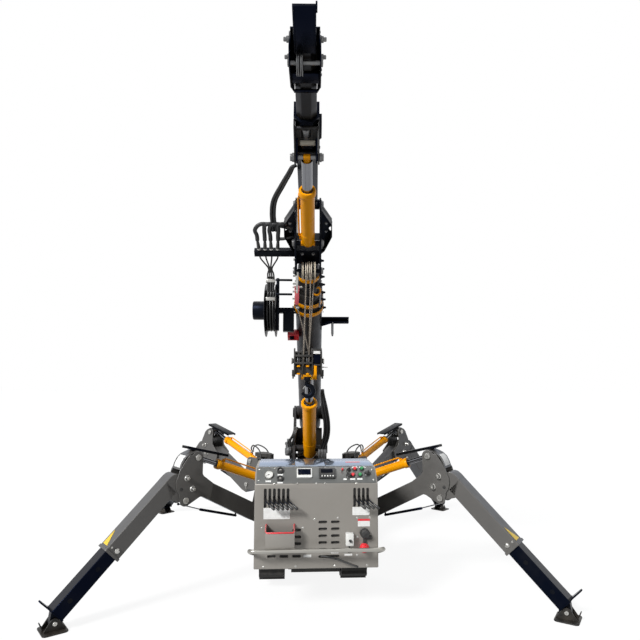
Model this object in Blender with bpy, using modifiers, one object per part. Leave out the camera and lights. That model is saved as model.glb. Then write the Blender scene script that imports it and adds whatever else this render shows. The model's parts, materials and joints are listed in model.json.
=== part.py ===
# Compact spider crane on rubber tracks, standing on its four spread outriggers with the boom raised.
# Metres, +Z up. The boom points towards -Y over the control console; +X is the console's right side.
# The origin is on the ground below the middle of the machine's box.

import math

import bmesh
import bpy
from mathutils import Matrix, Vector

# Driving dimensions

ORIGIN_Y = 0.653           # shift of the middle between the four feet behind the origin

# Fits
SKIN = 0.0003              # gap between faces that rest on each other
RUNNING = 0.0005           # side gap at a pin joint
SLIDE_GAP = 0.004          # gap round a telescoping box, taken up by its wear pads
HINGE_GAP = 0.008          # gap between a swinging piece and the frame that carries it

# Tracks
TRACK_OUTER = 0.390        # half of the width over both tracks
TRACK_WIDTH = 0.185
TRACK_BOTTOM = 0.055
TRACK_HEIGHT = 0.350
TRACK_FRONT = -1.000
TRACK_REAR = 0.660
TRACK_BELT = 0.030
SHOE_PITCH = 0.090
SHOE_LUG = 0.016
WHEEL_WIDTH = 0.090
ROLLER_RADIUS = 0.045
ROLLER_COUNT = 4

# Chassis
FRAME_HALF = 0.180         # half width of the box between the tracks
FRAME_BOTTOM = 0.170
FRAME_TOP = 0.400
FRAME_FRONT = -1.000
FRAME_REAR = 0.620
DECK_TOP = 0.440
SLEW_Y = -0.105            # slew axis, measured from the middle of the feet
SLEW_RADIUS = 0.235
PEDESTAL_TOP = 0.560
POST_RADIUS = 0.045
POST_BOTTOM = 0.445
POST_TOP = 0.780
POST_EAR = 0.030
POST_EAR_RADIUS = 0.062

# Console
CONSOLE_WIDTH = 0.800
CONSOLE_FRONT = -1.436
CONSOLE_BACK = -1.021
CONSOLE_BOTTOM = 0.315
CONSOLE_FOLD = 0.843       # height where the panel starts to slope back
CONSOLE_TOP = 0.936
PANEL_SLOPE = 0.100        # how far the panel leans back
SHEET = 0.003
SLOT_DEPTH = 0.022         # of the lever slots and the vents in the console's front
LEVER_SLOT = (0.014, 0.120)
LEVER_SLOT_TOP = 0.817
LEVER_BANKS = ((-0.3305, 0.0292, 6), (0.2480, 0.0285, 4))  # x of the first slot, pitch, count
VENT = (0.057, 0.018)
VENT_ROWS = (0.602, 0.560, 0.517, 0.475, 0.432)
VENT_COLUMNS = (0.041, 0.122)
TRAY_LEFT = -0.323
TRAY_RIGHT = -0.141
TRAY_BOTTOM = 0.444
TRAY_TOP = 0.556
TRAY_OUT = 0.085
BATTERY_UP = 0.088         # the battery's top above its tray's floor
HANDLE_RADIUS = 0.0125
HANDLE_OUT = 0.106         # the handle bar's centre line in front of the console
HANDLE_BACK = 0.060        # how far its ends reach back along the console's sides
HANDLE_Z = 0.455
HANDLE_BEND = 0.060
ENGINE_HALF = 0.195
ENGINE_BACK = -0.720
ENGINE_TOP = 0.830

# Outrigger legs. In a leg's own plane r runs outwards from the swing axis and z is the height.
FRONT_POST = (0.291, -0.572)
REAR_POST = (0.447, 0.361)
FRONT_SPREAD = 35.1        # degrees from the side, towards the console
REAR_SPREAD = 44.8         # degrees from the side, away from the console
ARM_PIN = (0.130, 0.505)
RAM_PIN = (0.085, 0.728)
KNUCKLE_TOP = (0.708, 0.961)
KNUCKLE_PIN = (0.797, 0.674)
FOOT_PIN = (1.606, 0.052)
ARM_DEPTH = 0.140
ARM_WIDTH = 0.120
ARM_END = (0.664, 0.762)   # where the arm's centre line meets the knuckle plates
LEG_SLOPE = 44.2           # degrees below the horizontal
LEG_DEPTH = 0.168
LEG_WIDTH = 0.130
LEG_WALL = 0.008
LEG_TOP = (0.900, 0.903)   # a point on the leg's upper edge, at its end
LEG_HEAD = 0.080           # from LEG_TOP to where the leg is hollow
COLLAR_AT = 0.640          # from LEG_TOP down the leg
LEG_LENGTH_INSIDE = 0.250  # length of the sliding box that stays inside at the stored pose
PLATE = 0.010
KNUCKLE_MIDDLE = (0.800, 0.755, 0.073)  # round outer edge of the knuckle plates
KNUCKLE_ROOT = ((0.600, 0.800, 0.0), (0.640, 0.672, 0.0))
GUARD_START = (0.450, 0.954)  # lower end of the rod guard, r and z
GUARD_LENGTH = 0.330
GUARD_WIDTH = 0.090
GUARD_SHEET = 0.008
GUARD_SLOPE = 14.4
BRIDGE_UP = 0.047          # bar that joins the knuckle plates, above their top pin
BRIDGE_THICK = 0.016
BRIDGE_BACK, BRIDGE_FRONT = 0.018, 0.022
CAP_RADIUS = 0.056         # of the curved sheet over the knuckle's top pin
CAP_SHEET = 0.006
CAP_END = (0.806, 0.893)
PIN_RADIUS = 0.0175
PIN_HEAD = 0.010
RAM_RADIUS = 0.0315
RAM_ROD = 0.0175
RAM_BARREL = 0.470
RAM_INSIDE = 0.295         # length of rod inside the barrel at the stored pose
FOOT_PIN_RADIUS = 0.0125
PAD_LENGTH = 0.200
PAD_WIDTH = 0.220
PAD_THICK = 0.012
PAD_EAR = 0.010
TONGUE_WIDTH = 0.080

# Superstructure, measured from the slew axis, y towards the rear
SLEW_ANGLE = -2.6          # degrees, the boom's swing in the stored pose
BOOM_PIVOT = (0.305, 1.200)
LUFF_FOOT = (0.055, 0.900)
BOOM_ANGLE = 37.5          # degrees above the horizontal
CHEEK_GAP = 0.256          # clear width between the column's cheeks
CHEEK = 0.020
COLUMN_BASE = 0.020
BOOM_PIN_RADIUS = 0.030

# Boom. s runs along it from its pivot and t is the distance below its centre line.
BOOM_WIDTH = 0.200
BOOM_HEIGHT = 0.230
BOOM_WALL = 0.004
BOOM_TAIL = 0.160
BOOM_LENGTH = 1.470
SECTION_COUNT = 6
SECTION_STEP = 0.077       # how far each section's collar stands ahead of the last
SECTION_LAP = 1.300        # length of each section behind its own collar
COLLAR_LENGTH = 0.028
COLLAR_RIM = 0.009
CONE_RADIUS = 0.016
CONE_LENGTH = 0.032
CONE_T = 0.030
SIDE_ARM = (BOOM_LENGTH - 0.200, 0.010)  # s of the arm on the boom's right, and its top above the centre line
SIDE_ARM_REACH = 0.210
LUFF_EYE = (0.900, 0.240)
LUFF_RADIUS = 0.057
LUFF_ROD = 0.034
LUFF_BARREL = 0.580
LUFF_INSIDE = 0.291
HEAD_AT = BOOM_LENGTH + SECTION_COUNT * SECTION_STEP  # s of the boom head's rear end
HEAD_BOX_END = HEAD_AT + 0.118
HEAD_SHEAVE_PIN = 0.014
HEAD_HALF = 0.076
HEAD_PLATE = 0.012
HEAD_SHEAVE = (HEAD_AT - 0.002, 0.165)
WING = ((0.398, 0.090), (0.283, 0.158), (0.188, 0.160), (0.068, 0.112), (0.036, 0.084))  # side guards, s from HEAD_AT, x
WING_SHEET = 0.006
WING_HALF = 0.040
SHEAVE_RADIUS = 0.062
SHEAVE_WIDTH = 0.022
GROOVE = 0.012             # depth of the rope groove
SHEAVE_COUNT = 4

# Jib
JIB_ANGLE = 15.0           # degrees above the horizontal
JIB_PIVOT = (HEAD_AT + 0.268, -0.220)
JIB_WIDTH = 0.125
JIB_LENGTH = 0.900
JIB_EXT_END = 1.180
JIB_REACH = 1.600
JIB_RAM_FOOT = (HEAD_AT + 0.188, 0.100)
JIB_RAM_EYE = (0.690, 0.135)
JIB_RAM_RADIUS = 0.044
JIB_RAM_ROD = 0.031
JIB_RAM_BARREL = 0.440
JIB_RAM_INSIDE = 0.257

# Hook
BLOCK_DROP = 0.615         # from the head's sheave pin to the block's sheave pin
BLOCK_WIDTH = 0.180
BLOCK_HEIGHT = 0.190
BLOCK_DEPTH = 0.124
ROPE_RADIUS = 0.004
BLOCK_SHEAVE_UP = 0.010    # the block's sheave pin above the block's middle

# Winch and hose reel
WINCH_AT = (0.310, 0.800)
WINCH_RADIUS = 0.070
WINCH_LENGTH = 0.220
WINCH_AXLE = 0.022
REEL_AT = (BOOM_LENGTH - 0.040, 0.050)
REEL_RADIUS = 0.200
REEL_INNER = 0.090
REEL_WIDTH = 0.070
REEL_AXLE = 0.040
REEL_X = -0.245            # inner face of the reel

ROUND = 12                 # sides of a round piece
ROUND_FINE = 16            # of a large one
PIN_SIDES = 8
WHEEL_SIDES = 24


# Scene and materials

def clear_scene():
    for obj in list(bpy.data.objects):
        bpy.data.objects.remove(obj, do_unlink=True)


def collection(name):
    found = bpy.data.collections.new(name)
    bpy.context.scene.collection.children.link(found)
    return found


def linear(value):
    return value / 12.92 if value <= 0.04045 else ((value + 0.055) / 1.055) ** 2.4


def material(name, colour, roughness, metallic):
    made = bpy.data.materials.new(name)
    made.use_nodes = True
    shader = made.node_tree.nodes["Principled BSDF"]
    rgb = [linear(int(colour[k:k + 2], 16) / 255) for k in (0, 2, 4)]
    shader.inputs["Base Color"].default_value = (*rgb, 1.0)
    shader.inputs["Roughness"].default_value = roughness
    shader.inputs["Metallic"].default_value = metallic
    return made


clear_scene()
PARTS = collection("spider_crane")
CUTTERS = collection("cutters")

GREY_PAINT = material("grey_paint", "6E6C68", 0.45, 0.3)
DARK_PAINT = material("dark_paint", "3A3835", 0.45, 0.2)
CONSOLE_PAINT = material("console_paint", "98948D", 0.4, 0.3)
BLACK_PAINT = material("black_paint", "0E0F12", 0.3, 0.0)
ORANGE_PAINT = material("orange_paint", "F59A00", 0.35, 0.0)
CHROME = material("chrome", "C8C8C8", 0.12, 1.0)
STEEL = material("steel", "8A8A88", 0.35, 1.0)
RUBBER = material("rubber", "191919", 0.8, 0.0)
CREAM = material("sheave_nylon", "D8CFBE", 0.5, 0.0)


# Frames: empties that carry the pieces, each on its joint's axis

def frame(name, parent, at=(0, 0, 0), turn=(0, 0, 0)):
    empty = bpy.data.objects.new("axis_" + name, None)
    CUTTERS.objects.link(empty)
    empty.hide_render = True
    empty.parent = parent
    empty.location = at
    empty.rotation_euler = [math.radians(angle) for angle in turn]
    return empty


# Shapes: each function returns a loose mesh in the coordinates of the frame that it is made for

def mesh_of(bm):
    mesh = bpy.data.meshes.new("shape")
    bm.to_mesh(mesh)
    bm.free()
    return mesh


def block(low, high):
    """A box between two corners."""
    bm = bmesh.new()
    size = [b - a for a, b in zip(low, high)]
    middle = [(a + b) / 2 for a, b in zip(low, high)]
    bmesh.ops.create_cube(bm, size=1.0, matrix=Matrix.Translation(middle) @ Matrix.Diagonal((*size, 1.0)))
    return mesh_of(bm)


def rod(start, end, radius, sides=ROUND, end_radius=None):
    """A cylinder or cone between two points."""
    start, end = Vector(start), Vector(end)
    run = end - start
    turn = run.to_track_quat("Z", "X").to_matrix().to_4x4()
    bm = bmesh.new()
    bmesh.ops.create_cone(bm, cap_ends=True, segments=sides, radius1=radius,
                          radius2=radius if end_radius is None else end_radius, depth=run.length,
                          matrix=Matrix.Translation((start + end) / 2) @ turn)
    return mesh_of(bm)


def across(y, z, half, radius, sides=ROUND, x=0.0):
    """A pin along X, centred on x."""
    return rod((x - half, y, z), (x + half, y, z), radius, sides)


def crosswise(x, z, half, radius, sides=PIN_SIDES, y=0.0):
    """A pin along Y, centred on y."""
    return rod((x, y - half, z), (x, y + half, z), radius, sides)


def flat(outlines, low, high, plane="YZ"):
    """A plate with the given outlines, the first one outside and any others holes, between two levels."""
    curve = bpy.data.curves.new("outline", "CURVE")
    curve.dimensions = "2D"
    curve.fill_mode = "BOTH"
    curve.extrude = (high - low) / 2
    for points in outlines:
        spline = curve.splines.new("POLY")
        spline.points.add(len(points) - 1)
        spline.use_cyclic_u = True
        for spot, (a, b) in zip(spline.points, points):
            spot.co = (a, b, 0.0, 1.0)
    maker = bpy.data.objects.new("outline", curve)
    PARTS.objects.link(maker)
    bpy.context.view_layer.update()
    mesh = bpy.data.meshes.new_from_object(maker.evaluated_get(bpy.context.evaluated_depsgraph_get()))
    bpy.data.objects.remove(maker, do_unlink=True)
    bm = bmesh.new()
    bm.from_mesh(mesh)
    bmesh.ops.remove_doubles(bm, verts=bm.verts, dist=0.00001)
    level = (low + high) / 2
    places = {
        "YZ": Matrix(((0, 0, 1, level), (1, 0, 0, 0), (0, 1, 0, 0), (0, 0, 0, 1))),
        "XZ": Matrix(((1, 0, 0, 0), (0, 0, -1, level), (0, 1, 0, 0), (0, 0, 0, 1))),
        "XY": Matrix.Translation((0, 0, level)),
    }
    bmesh.ops.transform(bm, matrix=places[plane], verts=bm.verts)
    bmesh.ops.recalc_face_normals(bm, faces=bm.faces)
    return mesh_of(bm)


def turned(profile, sides=ROUND):
    """A ring turned about the X axis from a closed profile of (x, radius) points."""
    bm = bmesh.new()
    spots = [bm.verts.new((radius, 0, x)) for x, radius in profile]
    for k, spot in enumerate(spots):
        bm.edges.new((spots[k - 1], spot))
    maker = bpy.data.objects.new("profile", mesh_of(bm))
    PARTS.objects.link(maker)
    screw = maker.modifiers.new("Screw", "SCREW")
    screw.steps = sides
    screw.render_steps = sides
    screw.use_merge_vertices = True
    screw.merge_threshold = 0.0001
    bpy.context.view_layer.update()
    mesh = bpy.data.meshes.new_from_object(maker.evaluated_get(bpy.context.evaluated_depsgraph_get()))
    bpy.data.objects.remove(maker, do_unlink=True)
    bm = bmesh.new()
    bm.from_mesh(mesh)
    bmesh.ops.transform(bm, matrix=Matrix.Rotation(math.radians(90), 4, "Y"), verts=bm.verts)
    bmesh.ops.recalc_face_normals(bm, faces=bm.faces)
    return mesh_of(bm)


def pipe(points, radius, sizes=None, fineness=2):
    """A round bar or pipe along a run of points; sizes scales its radius at each point."""
    curve = bpy.data.curves.new("run", "CURVE")
    curve.dimensions = "3D"
    curve.bevel_depth = radius
    curve.bevel_resolution = fineness
    curve.use_fill_caps = True
    spline = curve.splines.new("POLY")
    spline.points.add(len(points) - 1)
    for k, point in enumerate(points):
        spline.points[k].co = (*point, 1.0)
        spline.points[k].radius = sizes[k] if sizes else 1.0
    maker = bpy.data.objects.new("run", curve)
    PARTS.objects.link(maker)
    bpy.context.view_layer.update()
    mesh = bpy.data.meshes.new_from_object(maker.evaluated_get(bpy.context.evaluated_depsgraph_get()))
    bpy.data.objects.remove(maker, do_unlink=True)
    bm = bmesh.new()
    bm.from_mesh(mesh)
    bmesh.ops.remove_doubles(bm, verts=bm.verts, dist=0.00001)
    bmesh.ops.recalc_face_normals(bm, faces=bm.faces)
    return mesh_of(bm)


def moved(mesh, matrix):
    mesh.transform(matrix)
    return mesh


def tilted(mesh, at, degrees, axis):
    """Turns a shape about an axis through a point."""
    at = Vector(at)
    turn = Matrix.Rotation(math.radians(degrees), 4, axis)
    return moved(mesh, Matrix.Translation(at) @ turn @ Matrix.Translation(-at))


def bore_radius(pin, sides=PIN_SIDES):
    """Radius of a many-sided bore whose flats clear the corners of a pin that turns in it."""
    return (pin + SKIN) / math.cos(math.pi / sides)


def circle(centre, radius, sides=ROUND):
    steps = [2 * math.pi * (k + 0.5) / sides for k in range(sides)]
    return [(centre[0] + radius * math.cos(a), centre[1] + radius * math.sin(a)) for a in steps]


def hull(circles, sides=ROUND):
    """The outline that a belt round these (x, y, radius) circles would take."""
    points = sorted({spot for x, y, radius in circles
                     for spot in (circle((x, y), radius, sides) if radius else [(x, y)])})

    def half(run):
        chain = []
        for spot in run:
            while len(chain) > 1 and cross(chain[-2], chain[-1], spot) <= 1e-9:
                chain.pop()
            chain.append(spot)
        return chain[:-1]

    def cross(a, b, c):
        return (b[0] - a[0]) * (c[1] - a[1]) - (b[1] - a[1]) * (c[0] - a[0])

    return half(points) + half(points[::-1])


def solid(name, paint, parent, add, cut=(), at=(0, 0, 0)):
    """Joins the shapes of add into one piece, takes those of cut away, and hangs it on its frame.
    at is the frame's place in the coordinates that the shapes use."""
    made = bpy.data.objects.new(name, add[0])
    PARTS.objects.link(made)
    helpers = []
    for operation, shapes in (("UNION", add[1:]), ("DIFFERENCE", cut)):
        for shape in shapes:
            helper = bpy.data.objects.new("cutter", shape)
            helper.hide_render = True
            helper.display_type = "WIRE"
            CUTTERS.objects.link(helper)
            helpers.append(helper)
            step = made.modifiers.new(operation, "BOOLEAN")
            step.operation = operation
            step.object = helper
            step.solver = "EXACT"
    bpy.context.view_layer.update()
    mesh = bpy.data.meshes.new_from_object(made.evaluated_get(bpy.context.evaluated_depsgraph_get()))
    made.modifiers.clear()
    for helper in helpers:
        bpy.data.objects.remove(helper, do_unlink=True)
    bm = bmesh.new()
    bm.from_mesh(mesh)
    bmesh.ops.remove_doubles(bm, verts=bm.verts, dist=0.00001)
    bmesh.ops.dissolve_limit(bm, angle_limit=math.radians(0.2), verts=bm.verts, edges=bm.edges)
    bmesh.ops.holes_fill(bm, edges=bm.edges, sides=4)
    bmesh.ops.translate(bm, vec=-Vector(at), verts=bm.verts)
    bm.to_mesh(mesh)
    bm.free()
    mesh.name = name
    made.data = mesh
    mesh.materials.clear()
    mesh.materials.append(paint)
    mesh.shade_smooth()
    mesh.set_sharp_from_angle(angle=math.radians(35))
    made.parent = parent
    return made


def copied(original, name, parent):
    """A repeated piece: its own object on its own frame, sharing the first one's mesh."""
    made = bpy.data.objects.new(name, original.data)
    PARTS.objects.link(made)
    made.parent = parent
    return made


# Carrier

def track_inside():
    """The belt's inner outline."""
    half = TRACK_HEIGHT / 2
    radius = half - SHOE_LUG - TRACK_BELT
    z = TRACK_BOTTOM + half
    return hull([(TRACK_FRONT + half, z, radius), (TRACK_REAR - half, z, radius)], WHEEL_SIDES)


def track_outside():
    """The belt's outer outline with its lugs: one lug to a pitch on both runs and round both ends."""
    half = TRACK_HEIGHT / 2
    z = TRACK_BOTTOM + half
    straight = TRACK_REAR - TRACK_FRONT - 2 * half
    turn = math.pi * half
    count = round((2 * straight + 2 * turn) / SHOE_PITCH)
    pitch = (2 * straight + 2 * turn) / count

    def spot(along, depth):
        along %= 2 * straight + 2 * turn
        radius = half - depth
        if along < straight:
            return (TRACK_FRONT + half + along, z - radius)
        if along < straight + turn:
            angle = (along - straight) / half - math.pi / 2
            return (TRACK_REAR - half + radius * math.cos(angle), z + radius * math.sin(angle))
        if along < 2 * straight + turn:
            return (TRACK_REAR - half - (along - straight - turn), z + radius)
        angle = (along - 2 * straight - turn) / half + math.pi / 2
        return (TRACK_FRONT + half + radius * math.cos(angle), z + radius * math.sin(angle))

    points = []
    for k in range(count):
        start = (k + 0.2) * pitch
        for share, depth in ((0.0, SHOE_LUG), (0.08, 0.0), (0.44, 0.0), (0.52, SHOE_LUG)):
            points.append(spot(start + share * pitch, depth))
    return points


def build_track(side, carrier):
    low, high = sorted((side * TRACK_OUTER, side * (TRACK_OUTER - TRACK_WIDTH)))
    name = "track_left" if side < 0 else "track_right"
    return solid(name, RUBBER, carrier, [flat([track_outside(), track_inside()], low, high)])


def track_wheels(side):
    """Idler, sprocket and bottom rollers, with the beam that carries them beside the frame box."""
    shapes = []
    x_mid = side * (TRACK_OUTER - TRACK_WIDTH / 2)
    z_mid = TRACK_BOTTOM + TRACK_HEIGHT / 2
    half = TRACK_HEIGHT / 2
    inside = half - SHOE_LUG - TRACK_BELT - 2 * SKIN
    for y in (TRACK_FRONT + half, TRACK_REAR - half):
        shapes.append(flat([circle((y, z_mid), inside, WHEEL_SIDES)], x_mid - WHEEL_WIDTH / 2, x_mid + WHEEL_WIDTH / 2))
    span = TRACK_REAR - TRACK_FRONT - 2 * half
    roller_z = z_mid - inside * math.cos(math.pi / WHEEL_SIDES) + ROLLER_RADIUS
    for k in range(ROLLER_COUNT):
        y = TRACK_FRONT + half + span * (k + 1) / (ROLLER_COUNT + 1)
        shapes.append(across(y, roller_z, WHEEL_WIDTH / 2, ROLLER_RADIUS, ROUND, x_mid))
    low, high = sorted((side * (FRAME_HALF - 0.01), x_mid + side * 0.03))
    shapes.append(block((low, TRACK_FRONT + half - 0.05, z_mid - 0.06), (high, TRACK_REAR - half + 0.05, z_mid + 0.06)))
    return shapes


def post_bracket(post, spread):
    """Upper and lower ears round a post, joined by an upright behind it, for all four corners."""
    shapes = []
    for side in (-1, 1):
        angle = math.radians(spread)
        centre = Vector((side * post[0], post[1], 0))
        inward = Vector((-side * math.cos(angle), -math.copysign(math.sin(angle), post[1]), 0))
        back = centre + inward * (POST_RADIUS + HINGE_GAP + 0.030)
        for low, high in ((POST_BOTTOM - POST_EAR, POST_BOTTOM), (POST_TOP, POST_TOP + POST_EAR)):
            outline = hull([(centre.x, centre.y, POST_EAR_RADIUS), (back.x, back.y, 0.045)])
            shapes.append(flat([outline], low, high, "XY"))
        upright = hull([(back.x, back.y, 0.022), ((back + inward * 0.05).x, (back + inward * 0.05).y, 0.028)])
        shapes.append(flat([upright], POST_BOTTOM - POST_EAR + 0.002, POST_TOP + POST_EAR - 0.002, "XY"))
        shapes.append(rod((centre.x, centre.y, POST_BOTTOM - POST_EAR - 0.008), (centre.x, centre.y, POST_TOP + POST_EAR),
                          PIN_RADIUS, PIN_SIDES))
    return shapes


def deck_arm(post, spread):
    """Box beams from the deck out to the two posts of one end."""
    shapes = []
    for side in (-1, 1):
        angle = math.radians(spread)
        inward = Vector((-side * math.cos(angle), -math.copysign(math.sin(angle), post[1]), 0))
        near = Vector((side * post[0], post[1], 0)) + inward * 0.10
        outline = hull([(near.x, near.y, 0.05), (side * 0.08, post[1] * 0.45 + SLEW_Y * 0.55, 0.09)])
        shapes.append(flat([outline], POST_BOTTOM - POST_EAR + 0.002, POST_BOTTOM + HINGE_GAP, "XY"))
    return shapes


def build_chassis(carrier):
    shapes = [block((-FRAME_HALF, FRAME_FRONT, FRAME_BOTTOM), (FRAME_HALF, FRAME_REAR, FRAME_TOP)),
              block((-0.17, -0.70, FRAME_TOP - 0.01), (0.17, 0.50, DECK_TOP)),
              rod((0, SLEW_Y, DECK_TOP - 0.02), (0, SLEW_Y, PEDESTAL_TOP), SLEW_RADIUS, ROUND_FINE)]
    for side in (-1, 1):
        shapes += track_wheels(side)
    for post, spread in ((FRONT_POST, FRONT_SPREAD), (REAR_POST, REAR_SPREAD)):
        shapes += deck_arm(post, spread) + post_bracket(post, spread)
    shapes.append(block((-0.16, CONSOLE_FRONT + 0.12, CONSOLE_BOTTOM - 0.06), (0.16, FRAME_FRONT + 0.02, CONSOLE_BOTTOM - SKIN)))
    return solid("chassis_frame", DARK_PAINT, carrier, shapes)


def console_slots():
    """Lever slots and vents in the console's front, as (x, z, width, height) of each."""
    slots = []
    for first, pitch, count in LEVER_BANKS:
        slots += [(first + k * pitch, LEVER_SLOT_TOP - LEVER_SLOT[1] / 2, *LEVER_SLOT) for k in range(count)]
    for z in VENT_ROWS:
        slots += [(x, z, *VENT) for x in VENT_COLUMNS]
    return slots


def console_cutters():
    front = CONSOLE_FRONT
    return [block((x - width / 2, front - SHEET, z - height / 2), (x + width / 2, front + SLOT_DEPTH, z + height / 2))
            for x, z, width, height in console_slots()]


def build_tray(carrier):
    """Open-topped battery tray of folded sheet on the console's front, with its battery."""
    out, back = CONSOLE_FRONT - TRAY_OUT, CONSOLE_FRONT - SKIN
    outside = block((TRAY_LEFT, out, TRAY_BOTTOM), (TRAY_RIGHT, back, TRAY_TOP))
    inside = block((TRAY_LEFT + SHEET, out + SHEET, TRAY_BOTTOM + SHEET), (TRAY_RIGHT - SHEET, back - SHEET, TRAY_TOP + SHEET))
    solid("battery_tray", CONSOLE_PAINT, carrier, [outside], [inside])
    low = (TRAY_LEFT + SHEET + HINGE_GAP / 2, out + SHEET + SKIN, TRAY_BOTTOM + SHEET + SKIN)
    high = (TRAY_RIGHT - SHEET - HINGE_GAP / 2, back - SHEET - HINGE_GAP / 2, TRAY_BOTTOM + BATTERY_UP)
    posts = [rod((x, (low[1] + high[1]) / 2, high[2] - SHEET), (x, (low[1] + high[1]) / 2, high[2] + 0.012), 0.008, 8)
             for x in (low[0] + 0.030, high[0] - 0.030)]
    solid("battery", BLACK_PAINT, carrier, [block(low, high), *posts])


def build_handle(carrier):
    """Steel tube bent round the console's front, its ends lying along the console's two sides."""
    side = CONSOLE_WIDTH / 2 + HANDLE_RADIUS + SKIN
    front, back = CONSOLE_FRONT - HANDLE_OUT, CONSOLE_FRONT + HANDLE_BACK
    bend = []
    for k in range(5):
        angle = math.radians(90 * k / 4)
        bend.append((side - HANDLE_BEND + HANDLE_BEND * math.cos(angle), front + HANDLE_BEND - HANDLE_BEND * math.sin(angle), HANDLE_Z))
    half = [(side, back, HANDLE_Z)] + bend
    run = half + [(-x, y, z) for x, y, z in half[::-1]]
    solid("handle_bar", STEEL, carrier, [pipe(run, HANDLE_RADIUS, None, 1)])


def build_console(carrier):
    outline = [(CONSOLE_FRONT, CONSOLE_BOTTOM), (CONSOLE_BACK, CONSOLE_BOTTOM), (CONSOLE_BACK, CONSOLE_TOP),
               (CONSOLE_FRONT + PANEL_SLOPE, CONSOLE_TOP), (CONSOLE_FRONT, CONSOLE_FOLD)]
    body = flat([outline], -CONSOLE_WIDTH / 2, CONSOLE_WIDTH / 2)
    solid("console_housing", CONSOLE_PAINT, carrier, [body], console_cutters())
    build_tray(carrier)
    build_handle(carrier)
    solid("engine_cover", DARK_PAINT, carrier,
          [block((-ENGINE_HALF, CONSOLE_BACK + SKIN, FRAME_TOP + SKIN), (ENGINE_HALF, ENGINE_BACK, ENGINE_TOP))])


# Outrigger legs

def leg_frame(label, carrier, side, post, spread):
    """The swing frame of one leg: X outwards along the leg, Z up, on the post's axis."""
    degrees = math.copysign(spread, post[1])
    turn = degrees if side > 0 else 180 - degrees
    return frame(label + "_swing", carrier, (side * post[0], post[1], 0), (0, 0, turn))


def plane_point(point, y=0.0):
    return Vector((point[0], y, point[1]))


def down_the_leg(distance, above=0.0):
    """A point at a distance down the leg from LEG_TOP, above or below the leg's upper edge."""
    angle = math.radians(LEG_SLOPE)
    return (LEG_TOP[0] + distance * math.cos(angle) + above * math.sin(angle),
            LEG_TOP[1] - distance * math.sin(angle) + above * math.cos(angle))


def ram_reach():
    """Length and slope of the arm cylinder, from its pin on the post to its eye in the knuckle."""
    run = (KNUCKLE_TOP[0] - RAM_PIN[0], KNUCKLE_TOP[1] - RAM_PIN[1])
    return math.hypot(*run), math.degrees(math.atan2(run[1], run[0]))


def leg_post():
    """Tube on the swing pin with two cheeks that hold the arm's pin and the cylinder's pin."""
    cheek_half = ARM_WIDTH / 2 + RUNNING
    outline = hull([(*ARM_PIN, 0.045), (*RAM_PIN, 0.040), (0.0, POST_BOTTOM + 0.045, 0.030), (0.0, POST_TOP - 0.045, 0.030)])
    shapes = [rod((0, 0, POST_BOTTOM + SKIN), (0, 0, POST_TOP - SKIN), POST_RADIUS)]
    for side in (-1, 1):
        low, high = sorted((side * cheek_half, side * (cheek_half + PLATE)))
        shapes.append(flat([outline], low, high, "XZ"))
    shapes.append(block((-0.030, -cheek_half - 0.001, POST_BOTTOM + 0.040), (0.020, cheek_half + 0.001, POST_TOP - 0.040)))
    shapes.append(crosswise(*ARM_PIN, cheek_half + PLATE / 2, PIN_RADIUS - SKIN, PIN_SIDES))
    shapes.append(crosswise(*RAM_PIN, cheek_half + PLATE / 2, PIN_RADIUS - SKIN, PIN_SIDES))
    bore = rod((0, 0, POST_BOTTOM - 0.01), (0, 0, POST_TOP + 0.01), bore_radius(PIN_RADIUS), PIN_SIDES)
    return shapes, [bore]


def knuckle_cap(half):
    """Sheet bent round the knuckle's top pin between the two plates."""
    turns = range(115, 18, -16)
    outer, inner = [[(KNUCKLE_TOP[0] + radius * math.cos(math.radians(a)), KNUCKLE_TOP[1] + radius * math.sin(math.radians(a)))
                     for a in turns] for radius in (CAP_RADIUS, CAP_RADIUS - CAP_SHEET)]
    drop = Vector(CAP_END) - Vector(outer[-1])
    outer.append(CAP_END)
    inner.append((inner[-1][0] + drop.x, inner[-1][1] + drop.y))
    return flat([outer + inner[::-1]], -half - 0.002, half + 0.002, "XZ")


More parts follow.
